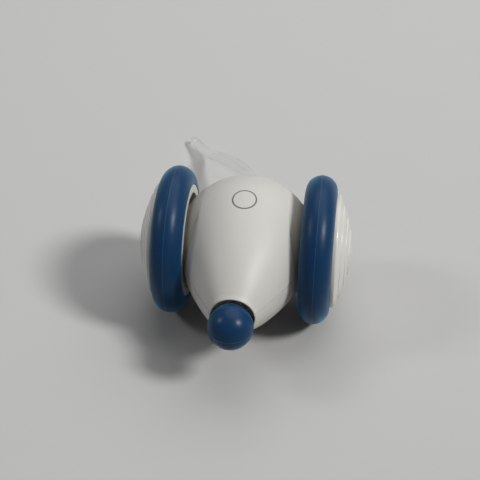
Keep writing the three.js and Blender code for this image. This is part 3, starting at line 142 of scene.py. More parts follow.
# Tail: its line in shares of its sweep to the side, its reach behind the axle and its drop
TAIL_ROOT_RADIUS = 3.3 * MM
TAIL_TIP_RADIUS = 2.3 * MM
TAIL_SWEEP = 40.9 * MM
TAIL_REACH = 118 * MM
TAIL_SHARES = (
    (0.02, 0.36, 0.03), (0.1, 0.45, 0.14), (0.26, 0.58, 0.31),
    (0.54, 0.74, 0.6), (0.78, 0.88, 0.88), (1, 1, 1),
)
TAIL_POINTS = 70
TAIL_SPAN_STEPS = 20
TAIL_TIP_STEPS = 7
TAIL_TIP_SHARE = 0.95
TAIL_TIP_CLOSING = 0.3
TAIL_END_RADIUS = 5 * MM
TAIL_FLANGE_THICKNESS = 1.5 * MM
TAIL_FLANGE_STEP = 0.02 * MM
COLLAR_WALL = 1.6 * MM
COLLAR_DEPTH = 3.4 * MM
COLLAR_EDGE = 0.3 * MM

# Charging port and power button
PORT_SKIN = 0.3 * MM
PORT_BLADE = (6.7 * MM, 5 * MM, 0.7 * MM)
PORT_BLADE_EDGE = 0.1 * MM
PORT_ROUND_SHARE = 0.49
PORT_ROUND_STEPS = 10
BUTTON_RADIUS = 3.2 * MM
BUTTON_DISH_RADII = (1.9 * MM, 2.2 * MM)
BUTTON_DISH_DEPTH = 0.25 * MM
BUTTON_EDGE = 0.25 * MM
BUTTON_FLANGE = 0.9 * MM
BUTTON_STEM_RADIUS = 1.4 * MM

# Screws
SHELL_SCREW_LENGTH = 7 * MM
COVER_SCREW_LENGTH = 5 * MM
SCREW_HOLE_RADIUS = 1.1 * MM
SCREW_HOLE_REACH = 20 * MM
SCREW_HEAD_HEIGHT = 1.1 * MM
SCREW_HEAD = (
    (0, 1.08 * MM), (0.9 * MM, 1.02 * MM), (1.3 * MM, 0.84 * MM),
    (1.54 * MM, 0.5 * MM), (1.58 * MM, 0.2 * MM), (1.5 * MM, 0),
)
SCREW_RADIUS = 0.8 * MM
SCREW_POINT_RADIUS = 0.3 * MM
SCREW_POINT_LENGTH = 0.5 * MM
RECESS_HALF_SIZE = (0.85 * MM, 0.17 * MM)
RECESS_HEIGHTS = (0.55 * MM, 2 * MM)
SCREW_TURN = 0.4

# Finishes
WHITE = (0.5, 0.49, 0.466)
BLUE = (0.003, 0.029, 0.083)
BLUE_LINE = (0.02, 0.07, 0.15, 1)
PRINT_GREY = (0.11, 0.115, 0.125, 1)
DUST_GREY = (0.42, 0.42, 0.41, 1)
BLOOM_BLUE = (0.1, 0.62, 1, 1)
CLEAR_WHITE = (0.96, 0.965, 0.96, 1)
FLOOR_GREY = (0.44, 0.44, 0.435, 1)
SURROUND_GREY = (0.5, 0.505, 0.51, 1)
RING_SETBACK = 6.6 * MM
RING_BLUR = 0.15 * MM
TYRE_LINE_HALF_WIDTH = 0.13 * MM
NOSE_LINE_HALF_WIDTH = 0.14 * MM
LINE_BLUR = 0.12 * MM
DRIFT_SCALE = 38
SMEAR_SCALE = 160
SMEAR_POLISH = 0.12

# Camera: the photograph's direction, distance and framing
CAMERA_ELEVATION = math.radians(38)
CAMERA_TURN = math.radians(7)
CAMERA_DISTANCE = 455.4 * MM
CAMERA_ACROSS = 2.57 * MM
CAMERA_UP = -1.75 * MM
CAMERA_LENS = 82.5

# Strength of the surround as light, and as the backdrop that is seen behind the floor
SURROUND_LEVEL = 0.16
BACKDROP_LEVEL = 0.78
SUN_ANGLE = math.radians(12.5)

# Lamps: name, direction, colour, strength, size and, for a panel and not a sun, its distance
LAMPS = (
    ("key", (0.7, -0.2, 0.74), (1, 0.99, 0.965), 2.5, SUN_ANGLE),
    ("fill", (-0.76, -0.08, 0.65), (0.97, 0.985, 1), 0.5, SUN_ANGLE),
    ("overhead", (0.15, 0.45, 1), (1, 1, 1), 4.6, 1.1, 0.9),
)

# What keeps the mesh of the frame, by words in the name, and the finish that it gets
KEPT_FINISHES = {
    "steel": ["screw", "axle", "idler_pin", "motor"],
    "brass": ["axle_bush", "motor_pinion"],
    "gear": ["output_gear", "idler_gear"],
    "chassis": ["chassis", "nose_plunger"],
    "board": ["main_board", "led_board"],
    "switch": ["nose_switch"],
    "foil": ["battery"],
}

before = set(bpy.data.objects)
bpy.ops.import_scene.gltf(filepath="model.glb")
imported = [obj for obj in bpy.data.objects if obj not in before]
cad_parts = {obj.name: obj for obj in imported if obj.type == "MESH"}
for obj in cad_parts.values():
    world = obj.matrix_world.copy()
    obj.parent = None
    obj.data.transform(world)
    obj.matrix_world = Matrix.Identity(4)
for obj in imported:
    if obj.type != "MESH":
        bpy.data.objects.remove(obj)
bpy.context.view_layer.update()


def corner(node, high):
    return Vector(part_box(node)[1 if high else 0])


def ends(node):
    return corner(node, False), corner(node, True)


def middle(node):
    return (corner(node, False) + corner(node, True)) / 2


def half_size(node, axis="z"):
    axis = "xyz".index(axis)
    return (corner(node, True)[axis] - corner(node, False)[axis]) / 2


AXLE = Vector((0, middle("left_tyre").y, middle("left_tyre").z))
WHEEL_MID = middle("left_tyre").x
TYRE_RADIUS = half_size("left_tyre")
COVER_RIM_RADIUS = half_size("left_side_cover")
FLANGE_RADIUS = half_size("left_hub_cap", "y")
COLLAR_INNER = corner("left_side_cover", False).x - SEAT_GAP
COVER_FACE = corner("left_side_cover", True).x
CAP_APEX = corner("left_hub_cap", True).x
CAP_INNER = corner("left_hub_cap", False).x
HUB_INNER = corner("left_axle_bush", True).x + HUB_GAP
BOSS_INNER = corner("left_axle_bush", False).x
HUB_OUTER = corner("left_axle", True).x
BORE_RADIUS = half_size("left_axle") + SEAT_GAP
BELLY_FLAT = corner("lower_shell", False).z
BELLY_PAD_TOP = BELLY_FLAT + BELLY_PAD
BALL_RADIUS = half_size("nose_ball")
BALL_CENTRE = Vector((0, corner("nose_ball", False).y + BALL_RADIUS, AXLE.z))
PARTING = AXLE.z + PARTING_RISE
BULKHEAD_Y = AXLE.y - NOSE_RIM_REACH + BULKHEAD_SETBACK
RING = {"Centre": (0, AXLE.y - RING_SETBACK, 0), "Radius": 4.7 * MM, "Half_Width": 0.34 * MM}
SHELL_SCREWS = [f"shell_screw_{i}" for i in range(1, 5)]
SCREW_PLACES = [tuple(middle(node))[:2] for node in SHELL_SCREWS]
COLLAR_OUTER_RADIUS = corner("tail_collar", True).x
COLLAR_FRONT = corner("tail_collar", False).y
TAIL_MOUTH = COLLAR_FRONT + COLLAR_DEPTH - SEAT_GAP


# Modelling helpers


def deselect_all():
    bpy.ops.object.select_all(action="DESELECT")


def only(obj):
    """Makes obj the one selected and active object."""
    deselect_all()
    obj.select_set(True)
    bpy.context.view_layer.objects.active = obj


def named(name):
    obj = bpy.context.active_object
    obj.name = obj.data.name = name
    return obj


def primitive(name, add, **settings):
    deselect_all()
    add(location=(0, 0, 0), **settings)
    return named(name)


def edit_all():
    bpy.ops.object.mode_set(mode="EDIT")
    bpy.ops.mesh.select_all(action="SELECT")


def end_edit():
    bpy.ops.object.mode_set(mode="OBJECT")


def place(obj, location=(0, 0, 0), rotation=(0, 0, 0)):
    """Turns and moves obj, with its place kept in its mesh."""
    only(obj)
    obj.rotation_euler = rotation
    obj.location = location
    bpy.ops.object.transform_apply(location=True, rotation=True, scale=True)


def outward(obj):
    only(obj)
    edit_all()
    bpy.ops.mesh.remove_doubles(threshold=WELD)
    bpy.ops.mesh.normals_make_consistent(inside=False)
    end_edit()


def smooth(obj, degrees):
    only(obj)
    bpy.ops.object.shade_smooth_by_angle(angle=math.radians(degrees))


def arc(radius, start, end, steps, centre=(0, 0)):
    """Points on an arc of the profile plane, as (radius, height)."""
    points = []
    for i in range(steps + 1):
        angle = start + (end - start) * i / steps
        points.append((centre[0] + radius * math.cos(angle), centre[1] + radius * math.sin(angle)))
    return points


def eased(profile, radius, closes=True, steps=3, sharp=math.radians(25)):
    """The profile with its sharp corners rounded."""
    count = len(profile)
    result = []
    for i, point in enumerate(profile):
        if not closes and i in (0, count - 1):
            result.append(point)
            continue
        here = Vector(point)
        before = Vector(profile[i - 1]) - here
        after = Vector(profile[(i + 1) % count]) - here
        if math.pi - before.angle(after) < sharp:
            result.append(point)
            continue
        reach_before = before.normalized() * min(radius, EASING_SHARE * before.length)
        reach_after = after.normalized() * min(radius, EASING_SHARE * after.length)
        for k in range(steps + 1):
            t = k / steps
            bent = here + reach_before * (1 - t) ** 2 + reach_after * t ** 2
            result.append((bent.x, bent.y))
    return result


def swept(name, rings, closes, segments, turn=(0, 0, 0)):
    """A skin drawn by extruding and scaling a circle through rings, each a centre and a size."""
    centre, size = rings[0]
    add = bpy.ops.mesh.primitive_circle_add
    obj = primitive(name, add, vertices=segments, radius=size[0], rotation=turn)
    bpy.ops.object.transform_apply(location=True, rotation=True, scale=True)
    edit_all()
    bpy.ops.transform.translate(value=centre)
    for next_centre, next_size in rings[1:] + (rings[:1] if closes else []):
        move = [b - a for a, b in zip(centre, next_centre)]
        share = [b / a for a, b in zip(size, next_size)]
        bpy.ops.mesh.extrude_region_move(TRANSFORM_OT_translate={"value": move})
        bpy.ops.transform.resize(value=share, center_override=next_centre)
        centre, size = next_centre, next_size
    if not closes:
        bpy.ops.mesh.select_all(action="SELECT")
        bpy.ops.mesh.select_non_manifold()
        bpy.ops.mesh.fill_holes(sides=0)
    end_edit()
    outward(obj)
    return obj


def turned(name, profile, closes=True, segments=WHEEL_SEGMENTS):
    """A profile of (radius, height) turned about local Z, closed as a ring or at its poles."""
    rings = []
    for radius, height in profile:
        radius = max(radius, POLE_RADIUS)
        rings.append(((0, 0, height), (radius, radius, 1)))
    return swept(name, rings, closes, segments)


def tube(inner, outer, low, high):
    """The profile of a plain ring."""
    return [(inner, low), (outer, low), (outer, high), (inner, high)]


def on_side(name, profile, side, closes=True):
    """A turned piece that lies along the left (1) or right (-1) axle."""
    obj = turned(name, profile, closes)
    place(obj, location=AXLE, rotation=(0, side * math.pi / 2, 0))
    return obj


def rod(name, radius, start, end, segments=SMALL_SEGMENTS):
    """A plain round cutter from start to end, both points."""
    start, end = Vector(start), Vector(end)
    add, length = bpy.ops.mesh.primitive_cylinder_add, (end - start).length
    obj = primitive(name, add, vertices=segments, radius=radius, depth=length)
    turn = Vector((0, 0, 1)).rotation_difference(end - start).to_euler()
    place(obj, location=(start + end) / 2, rotation=turn)
    return obj


def join(name, objs):
    only(objs[0])
    for obj in objs[1:]:
        obj.select_set(True)
    if len(objs) > 1:
        bpy.ops.object.join()
    objs[0].name = name
    return objs[0]


def remove(*objs):
    for obj in objs:
        bpy.data.objects.remove(obj, do_unlink=True)


def boolean(obj, tool, operation="DIFFERENCE", keep=False):
    """Cuts, trims or adds to obj with a tool, which is used up unless it is kept."""
    only(obj)
    modifier = obj.modifiers.new("boolean", "BOOLEAN")
    modifier.operation, modifier.solver, modifier.object = operation, "EXACT", tool
    bpy.ops.object.modifier_apply(modifier=modifier.name)
    if not keep:
        remove(tool)


def copy_of(obj, name):
    only(obj)
    bpy.ops.object.duplicate()
    return named(name)


def block(name, low, high):
    """A plain box cutter between two corners."""
    low, high = Vector(low), Vector(high)
    obj = primitive(name, bpy.ops.mesh.primitive_cube_add, size=1)
    obj.scale = high - low
    place(obj, location=(low + high) / 2)
    return obj


# Materials


def new_group(name, inputs, outputs):
    """A node group. A socket's kind follows from its value: a number, 3 or 4 numbers."""
    group = bpy.data.node_groups.new(name, "ShaderNodeTree")
    kinds = {0: "NodeSocketFloat", 3: "NodeSocketVector", 4: "NodeSocketColor"}
    for in_out, sockets in (("INPUT", inputs), ("OUTPUT", outputs)):
        for label, value in sockets.items():
            kind = kinds[len(value) if isinstance(value, tuple) else 0]
            socket = group.interface.new_socket(label, in_out=in_out, socket_type=kind)
            socket.default_value = value
    return group, group.nodes.new("NodeGroupInput"), group.nodes.new("NodeGroupOutput")


def feed(group, socket, value):
    """Links a socket to another, or gives it a plain value."""
    if isinstance(value, bpy.types.NodeSocket):
        group.links.new(value, socket)
    elif value is not None:
        socket.default_value = value


def fill(group, node, **values):
    """Feeds the inputs of a node by name, with an underscore for each space."""
    for label, value in values.items():
        feed(group, node.inputs[label.replace("_", " ")], value)


def maths(group, operation, first, second=None, clamp=False):
    node = group.nodes.new("ShaderNodeMath")
    node.operation = operation
    node.use_clamp = clamp
    feed(group, node.inputs[0], first)
    feed(group, node.inputs[1], second)
    return node.outputs["Value"]


def vectors(group, operation, first, second=None):
    node = group.nodes.new("ShaderNodeVectorMath")
    node.operation = operation
    feed(group, node.inputs[0], first)
    feed(group, node.inputs["Scale" if operation == "SCALE" else 1], second)
    return node.outputs["Value" if operation in ("LENGTH", "DOT_PRODUCT") else "Vector"]


def own_place(group):
    return group.nodes.new("ShaderNodeTexCoord").outputs["Object"]


def band(group, distance, offset, half_width, blur):
    """A mask that is 1 where the distance lies within half a width of the offset."""
    away = maths(group, "ABSOLUTE", maths(group, "SUBTRACT", distance, offset))
    inside = maths(group, "SUBTRACT", half_width, away)
    return maths(group, "MULTIPLY", inside, 2 / blur, clamp=True)


def noise(group, vector, scale, detail, roughness=0.5):
    node = group.nodes.new("ShaderNodeTexNoise")
    fill(group, node, Vector=vector, Scale=scale, Detail=detail, Roughness=roughness)
    return node.outputs["Fac"]


def moulding_group():
    """Slow shade and gloss drift of moulded plastic or rubber, with a fine spark-eroded grain."""
    grey = (0.8, 0.8, 0.8, 1)
    group, start, end = new_group(
        "moulded_skin",
        {"Colour": grey, "Drift": 0.04, "Gloss": 0.35, "Grain Scale": 4000},
        {"Colour": grey, "Roughness": 0, "Height": 0},
    )
    place_on = own_place(group)
    slow = noise(group, place_on, DRIFT_SCALE, 3)
    smear = noise(group, place_on, SMEAR_SCALE, 5, 0.6)
    grain = noise(group, place_on, start.outputs["Grain Scale"], 2)
    centred = maths(group, "SUBTRACT", maths(group, "ADD", slow, smear), 1.0)
    tone = maths(group, "ADD", maths(group, "MULTIPLY", centred, start.outputs["Drift"]), 1.0)
    shade = vectors(group, "SCALE", start.outputs["Colour"], tone)
    polish = maths(group, "MULTIPLY", maths(group, "SUBTRACT", smear, 0.5), SMEAR_POLISH)
    roughness = maths(group, "ADD", start.outputs["Gloss"], polish, clamp=True)
    fill(group, end, Colour=shade, Roughness=roughness, Height=grain)
    return group


def ring_print_group():
    """A mask that is 1 on a thin printed ring, centred on a point and seen from straight above."""
    inputs = {"Centre": (0, 0, 0), "Radius": 5 * MM, "Half Width": 0.3 * MM}
    group, start, end = new_group("ring_print", inputs, {"Mask": 0})
    offset = vectors(group, "SUBTRACT", own_place(group), start.outputs["Centre"])
    level = vectors(group, "MULTIPLY", offset, (1, 1, 0))
    distance = vectors(group, "LENGTH", level)
    width = start.outputs["Half Width"]
    fill(group, end, Mask=band(group, distance, start.outputs["Radius"], width, RING_BLUR))
    return group


def moulding_line_group():
    """A mask that is 1 on a thin line where a plane, and its mirror image, meets the surface."""
    inputs = {"Across": (0, 0, 1), "Offset": 0, "Half Width": 0.1 * MM}
    group, start, end = new_group("moulding_line", inputs, {"Mask": 0})
    along = vectors(group, "DOT_PRODUCT", own_place(group), start.outputs["Across"])
    distance = maths(group, "ABSOLUTE", along)
    width = start.outputs["Half Width"]
    fill(group, end, Mask=band(group, distance, start.outputs["Offset"], width, LINE_BLUR))
    return group


def dust_group():
    """Pale dust and scuffs that gather on a worn surface, as a mask."""
    group, start, end = new_group("dust", {"Amount": 0.2, "Scale": 220}, {"Mask": 0})
    patches = noise(group, own_place(group), start.outputs["Scale"], 6, 0.65)
    above = maths(group, "MULTIPLY", maths(group, "SUBTRACT", patches, 0.5), 5, clamp=True)
    fill(group, end, Mask=maths(group, "MULTIPLY", above, start.outputs["Amount"]))
    return group


MOULDING = moulding_group()
RING_PRINT = ring_print_group()
MOULDING_LINE = moulding_line_group()
DUST = dust_group()


def use_group(material, group, **values):
    node = material.node_tree.nodes.new("ShaderNodeGroup")
    node.node_tree = group
    fill(material.node_tree, node, **values)
    return node


def blank_material(name):
    material = bpy.data.materials.new(name)
    material.use_nodes = True
    return material, material.node_tree.nodes["Principled BSDF"]


def bump(material, shader, height, strength, distance):
    tree = material.node_tree
    node = tree.nodes.new("ShaderNodeBump")
    fill(tree, node, Strength=strength, Distance=distance, Height=height)
    fill(tree, shader, Normal=node.outputs["Normal"])


def over(material, mask, below, above):
    """Mixes a second colour over the first where the mask is 1."""
    tree = material.node_tree
    node = tree.nodes.new("ShaderNodeMix")
    node.data_type = "RGBA"
    fill(tree, node, Factor=mask, A=below, B=above)
    return node.outputs["Result"]


def skin_of(material, shader, colour, drift, gloss, grain):
    """Puts the moulded skin in a material, with its colour and roughness on the shader."""
    skin = use_group(material, MOULDING, Colour=colour, Drift=drift, Gloss=gloss, Grain_Scale=grain)
    roughness = skin.outputs["Roughness"]
    fill(material.node_tree, shader, Base_Color=skin.outputs["Colour"], Roughness=roughness)
    return skin


def moulded(
    name, colour, gloss, drift=0.025, grain=4000, depth=0.002 * MM, metal=0.0, shine=0.35,
    bloom=0.0, dust=0.0, printed=None, line=None,
):
    """A moulded or pressed finish, where wanted with dust, a printed ring or a moulding line."""
    material, shader = blank_material(name)
    skin = skin_of(material, shader, (*colour, 1), drift, gloss, grain)
    result = skin.outputs["Colour"]
    if line:
        across, offset, width = line
        seam = use_group(material, MOULDING_LINE, Across=across, Offset=offset, Half_Width=width)
        result = over(material, seam.outputs["Mask"], result, BLUE_LINE)
    if dust:
        specks = use_group(material, DUST, Amount=dust)
        result = over(material, specks.outputs["Mask"], result, DUST_GREY)
    if printed:
        mark = use_group(material, RING_PRINT, **printed)
        result = over(material, mark.outputs["Mask"], result, PRINT_GREY)
    fill(
        material.node_tree, shader, Base_Color=result, Metallic=metal,
        Specular_IOR_Level=0.5 if metal else shine,
        Sheen_Weight=bloom, Sheen_Roughness=0.35, Sheen_Tint=BLOOM_BLUE,
    )
    bump(material, shader, skin.outputs["Height"], 0.5, depth)
    return material


def clear_plastic(name):
    """Clear silicone with a smooth skin, faintly milky."""
    material, shader = blank_material(name)
    skin = skin_of(material, shader, CLEAR_WHITE, 0.02, 0.07, 600)
    fill(material.node_tree, shader, Transmission_Weight=0.96, IOR=1.33)
    bump(material, shader, skin.outputs["Height"], 0.3, 0.004 * MM)
    return material


materials = {
    "shell": moulded("shell_white", WHITE, 0.46, printed=RING),
    "shell_lower": moulded("lower_shell_white", WHITE, 0.46),
    "cap": moulded(
        "cap_white", (0.58, 0.57, 0.54), 0.22, drift=0.015, depth=0.0006 * MM, shine=0.5,
    ),
    "rim": moulded("rim_white", (0.54, 0.53, 0.505), 0.36),
    # The flank covers are the shell's white plastic; their darker, browner colour is painted shade,
    # for the shade they sit in between wheel and body.
    "cover": moulded("cover_white", (0.45, 0.435, 0.405), 0.45),
    "tyre": moulded(
        "tyre_rubber", BLUE, 0.36, drift=0.1, grain=1300, depth=0.05 * MM, shine=0.16,
        bloom=0.36, dust=0.006, line=((1, 0, 0), WHEEL_MID, TYRE_LINE_HALF_WIDTH),
    ),
    "nose": moulded(
        "nose_rubber", BLUE, 0.32, drift=0.08, grain=1300, depth=0.04 * MM, shine=0.17,
        bloom=0.22, dust=0.006, line=((0, 0, 1), BALL_CENTRE.z, NOSE_LINE_HALF_WIDTH),
    ),
    "button": moulded("button_blue", BLUE, 0.4),
    "chassis": moulded("chassis_grey", (0.1, 0.1, 0.11), 0.55),
    "gear": moulded("gear_nylon", (0.78, 0.76, 0.68), 0.5),
    "steel": moulded("screw_steel", (0.62, 0.62, 0.63), 0.3, grain=1500, metal=1.0),
    "brass": moulded("turned_brass", (0.72, 0.52, 0.22), 0.3, grain=1500, metal=1.0),
    "board": moulded("board_green", (0.02, 0.14, 0.06), 0.35, drift=0.2),
    "switch": moulded("switch_black", (0.015, 0.015, 0.017), 0.45),
    "foil": moulded(
        "cell_foil", (0.62, 0.63, 0.65), 0.32, drift=0.08, grain=700, depth=0.03 * MM, metal=0.9,
    ),
    "clear": clear_plastic("tail_clear"),
}


def dress(obj, material, nodes, body="toy_body", degrees=32):
    """Gives a piece its smooth shading, finish and body, and hides the nodes that it replaces."""
    smooth(obj, degrees)
    obj.data.materials.clear()
    obj.data.materials.append(materials[material])
    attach(obj, body)
    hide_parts(*nodes)


# Body shells


def outline(circle_radius, rim_radius, arc_radius):
    """The half width or half height of the body at each distance ahead of the axle."""
    setback = arc_radius - circle_radius
    rim_distance = math.hypot(NOSE_RIM_REACH, rim_radius)
    cosine = (arc_radius ** 2 - setback ** 2 - rim_distance ** 2) / (2 * setback * rim_distance)
    tangent = math.atan2(rim_radius, NOSE_RIM_REACH) + math.acos(cosine)
    across = -setback * math.sin(tangent)
    ahead = -setback * math.cos(tangent)

    def half(forward):
        if forward <= circle_radius * math.cos(tangent):
            return math.sqrt(max(circle_radius ** 2 - forward ** 2, 0))
        return across + math.sqrt(arc_radius ** 2 - (forward - ahead) ** 2)

    return half


def body_rings(inset, rim_radius, reach=NOSE_RIM_REACH):
    """The body's form, inset from its outer face, as rings of (y, half width, half height)."""
    radius = BODY_RADIUS - inset
    half_width = outline(radius, rim_radius, PLAN_ARC_RADIUS - inset)
    half_height = outline(radius, rim_radius, SIDE_ARC_RADIUS - inset)
    turns = [BALL_END_ANGLE * i / BALL_STEPS for i in range(1, BALL_STEPS + 1)]
    ball = [-radius * math.cos(turn) for turn in turns]
    run = reach - ball[-1]
    snout = [ball[-1] + run * i / SNOUT_STEPS for i in range(1, SNOUT_STEPS + 1)]
    rings = [(AXLE.y + radius, POLE_RADIUS, POLE_RADIUS)]
    for forward in ball + snout:
        rings.append((AXLE.y - forward, half_width(forward), half_height(forward)))
    return rings


def drawn(name, rings):
    """A skin drawn through rings of (y, half width, half height) round the body's long axis."""
    rings = [((0, y, AXLE.z), (width, 1, height)) for y, width, height in rings]
    return swept(name, rings, False, SHELL_SEGMENTS, turn=(math.pi / 2, 0, 0))


def egg_shell(name, outer_inset, inner_inset, outer_rim, inner_rim):
    """A hollow body, drawn over its outside, round the nose's lip and back along its inside."""
    lip = (outer_rim - inner_rim) / 2
    outside = body_rings(outer_inset, outer_rim, NOSE_RIM_REACH - lip)
    inside = body_rings(inner_inset, inner_rim, NOSE_RIM_REACH - lip)
    lip_y, outer_width, outer_height = outside[-1]
    inner_width, inner_height = inside[-1][1:]
    rings = outside
    for i in range(1, LIP_STEPS):
        angle = math.pi * i / LIP_STEPS
        share = (1 - math.cos(angle)) / 2
        width = outer_width + (inner_width - outer_width) * share
        height = outer_height + (inner_height - outer_height) * share
        rings.append((lip_y - lip * math.sin(angle), width, height))
    return drawn(name, rings + inside[::-1])


def keep_between(obj, low, high, front=-KEEP_REACH):
    """Keeps what lies between two heights, and behind the front where one is given."""
    box = block("keep_box", (-KEEP_REACH, front, low), (KEEP_REACH, KEEP_REACH, high))
    boolean(obj, box, "INTERSECT")


def round_edges(obj, width=PARTING_EDGE, segments=3, sharpness=60):
    """Rounds the sharp edges of a moulding, or the selected ones where no sharpness is given."""
    only(obj)
    bpy.ops.object.mode_set(mode="EDIT")
    bpy.ops.mesh.select_mode(type="EDGE")
    if sharpness:
        bpy.ops.mesh.select_all(action="DESELECT")
        bpy.ops.mesh.edges_select_sharp(sharpness=math.radians(sharpness))
    bpy.ops.mesh.bevel(offset=width, segments=segments, affect="EDGES", clamp_overlap=True)
    bpy.ops.mesh.select_mode(type="VERT")
    end_edit()


def bore_cutters(name, radius, depth):
    """Cutters through both flanks, from a depth behind the bore collars, and for the tail."""
    cutters = []
    for side in (1, -1):
        start = AXLE + Vector((side * (COLLAR_INNER - depth), 0, 0))
        end = AXLE + Vector((side * (BODY_RADIUS + CUT_OVERRUN), 0, 0))
        cutters.append(rod("flank_cutter", radius, start, end, WHEEL_SEGMENTS))
    front = (0, COLLAR_FRONT - CUT_OVERRUN, AXLE.z)
    back = (0, AXLE.y + 2 * BODY_RADIUS, AXLE.z)
    tail_bore = TAIL_ROOT_RADIUS + COLLAR_WALL + 2 * SEAT_GAP
    return join(name, cutters + [rod("tail_cutter", tail_bore, front, back)])


def inner_walls():
    """The collars round the flank bores and the bulkhead behind the nose, trimmed to the body."""
    collar = tube(FLANK_BORE_RADIUS, COLLAR_RING_RADIUS, COLLAR_INNER, BODY_RADIUS)
    walls = [on_side("bore_collar", collar, side) for side in (1, -1)]
    bulkhead = turned("bulkhead", tube(NOSE_STEM_BORE, BODY_RADIUS, 0, BULKHEAD_THICKNESS))
    place(bulkhead, location=(0, BULKHEAD_Y, AXLE.z), rotation=(-math.pi / 2, 0, 0))
    inside = join("inner_walls", walls + [bulkhead])
    limit = drawn("wall_limit", body_rings(WALL_END_INSET, WALL_HALF_RIM))
    boolean(inside, limit, "INTERSECT")
    return inside


def half_shell(name, up, skin, walls, cutters):
    """One moulded half, cut on the parting line and bored, and its share of the inner walls."""
    edge = PARTING + up * PARTING_GAP / 2
    low, high = sorted((edge, edge + up * 2 * BODY_RADIUS))
    shell = copy_of(skin, name)
    keep_between(shell, low, high)
    round_edges(shell)
    boolean(shell, cutters, keep=True)
    inside = copy_of(walls, name + "_walls")
    keep_between(inside, low, high)
    return shell, inside


def lap_ring(name, insets, low, high):
    """A thin ring along the parting line, with its front end behind the bulkhead."""
    outer, inner = insets
    ring = egg_shell(name, outer, inner, NOSE_RIM_RADIUS - outer / 2, NOSE_RIM_RADIUS - inner / 2)
    keep_between(ring, low, high, BULKHEAD_Y + BULKHEAD_THICKNESS)
    return ring


def make_shells():
    skin = egg_shell("body_skin", 0, BODY_WALL, NOSE_RIM_RADIUS, NOSE_RIM_RADIUS - NOSE_RIM_WALL)
    walls = inner_walls()
    cutters = bore_cutters("body_cutters", FLANK_BORE_RADIUS, FLANK_CUT_DEPTH)
    lap_clear = bore_cutters("lap_cutters", COLLAR_RING_RADIUS, LAP_CUT_DEPTH)
    lap_low, lap_high = PARTING - TONGUE_HEIGHT, PARTING + TONGUE_HEIGHT

    shell, inside = half_shell("upper_shell_skin", 1, skin, walls, cutters)
    rebate = lap_ring("lap_rebate", REBATE_INSETS, lap_low, lap_high + SEAT_GAP)
    boolean(rebate, lap_clear, keep=True)
    boolean(shell, rebate)
    upper = join("upper_shell_skin", [shell, inside])
    dress(upper, "shell", ["upper_shell"])

    shell, inside = half_shell("lower_shell_skin", -1, skin, walls, cutters)
    boolean(shell, lower_cutters())
    add_belly_pad(shell)
    tongue = lap_ring("lap_tongue", TONGUE_INSETS, lap_low, lap_high)
    boolean(tongue, lap_clear)
    lower = join("lower_shell_skin", [shell, inside, tongue, screw_wells()])
    dress(lower, "shell_lower", ["lower_shell"])
    remove(skin, walls, cutters)


def lower_cutters():
    """What is cut from the lower half: the belly flat, the port's slot and the screw wells."""
    flat = block(
        "belly_cutter", (-BODY_RADIUS, AXLE.y - BODY_RADIUS, -BODY_RADIUS),
        (BODY_RADIUS, AXLE.y + BODY_RADIUS, BELLY_FLAT),
    )
    tools = [flat, port_slot()]
    for x, y in SCREW_PLACES:
        low, high = AXLE.z - 2 * BODY_RADIUS, AXLE.z - WELL_CUT_DROP
        tools.append(rod("well_cutter", WELL_RADIUS, (x, y, low), (x, y, high)))
    return join("lower_cutters", tools)


def port_slot():
    low, high = ends("usb_port")
    width, _, height = high - low
    size = (width + 2 * SEAT_GAP, BODY_RADIUS, height + 2 * SEAT_GAP)
    return slot_bar("port_cutter", size, high.y - 2 * BODY_WALL, (low.z + high.z) / 2)


def screw_wells():
    """The tubes in the lower half down which the shell screws are driven."""
    profile = [
        (WELL_RADIUS, -WELL_END_DROP),
        (PILLAR_RADIUS, -WELL_END_DROP),
        (PILLAR_RADIUS, -PILLAR_JOINT_DROP),
        (SCREW_HOLE_RADIUS, -PILLAR_JOINT_DROP),
        (SCREW_HOLE_RADIUS, -SCREW_SEAT_DROP),
        (WELL_RADIUS, -SCREW_SEAT_DROP),
    ]
    wells = []
    for x, y in SCREW_PLACES:
        well = turned("screw_well", profile, segments=SMALL_SEGMENTS)
        place(well, location=(x, y, AXLE.z))
        wells.append(well)
    tubes = join("screw_wells", wells)
    trim = drawn("well_trim", body_rings(WELL_TRIM_INSET, NOSE_RIM_RADIUS - WELL_TRIM_INSET))
    boolean(tubes, trim, "INTERSECT")
    return tubes


def add_belly_pad(shell):
    """Thickens the shell behind the belly flat, and bores it for the power button."""
    profile = [
        (0, BELLY_FLAT),
        (BELLY_PAD_RADIUS, BELLY_FLAT),
        (BELLY_PAD_ROOT_RADIUS, BELLY_PAD_TOP),
        (0, BELLY_PAD_TOP),
    ]
    pad = turned("belly_pad", profile, closes=False)
    place(pad, location=(0, AXLE.y, 0))
    boolean(shell, pad, "UNION")
    low, high = (0, AXLE.y, -BODY_RADIUS), (0, AXLE.y, BODY_RADIUS / 2)
    bore = rod("button_bore", BUTTON_BORE, low, high, WHEEL_SEGMENTS)
    boolean(shell, bore)


# Flank covers, wheels and caps


def cover_profile():
    """The domed cover's flat face, dome, inner dome and the boss that holds the axle bush."""
    boss_bore = BUSH_BOSS_RADIUS - BUSH_BOSS_WALL
    rim_inner, dome_inner = COVER_RIM_RADIUS - COVER_WALL, BODY_RADIUS - COVER_WALL
    face = math.acos(COVER_FACE_RADIUS / BODY_RADIUS)
    edge = math.acos(COVER_RIM_RADIUS / BODY_RADIUS)
    outside = arc(BODY_RADIUS, face, edge, COVER_STEPS[0])
    inside = arc(dome_inner, math.acos(rim_inner / dome_inner), face, COVER_STEPS[1])
    return [
        (boss_bore, COVER_FACE),
        (COVER_FACE_RADIUS, COVER_FACE),
        *outside[1:],
        (COVER_RIM_RADIUS, COLLAR_INNER + SEAT_GAP),
        (rim_inner, COLLAR_INNER + SEAT_GAP),
        *inside,
        (BUSH_BOSS_RADIUS, COVER_FACE - COVER_WALL),
        (BUSH_BOSS_RADIUS, BOSS_INNER),
        (boss_bore, BOSS_INNER),
    ]


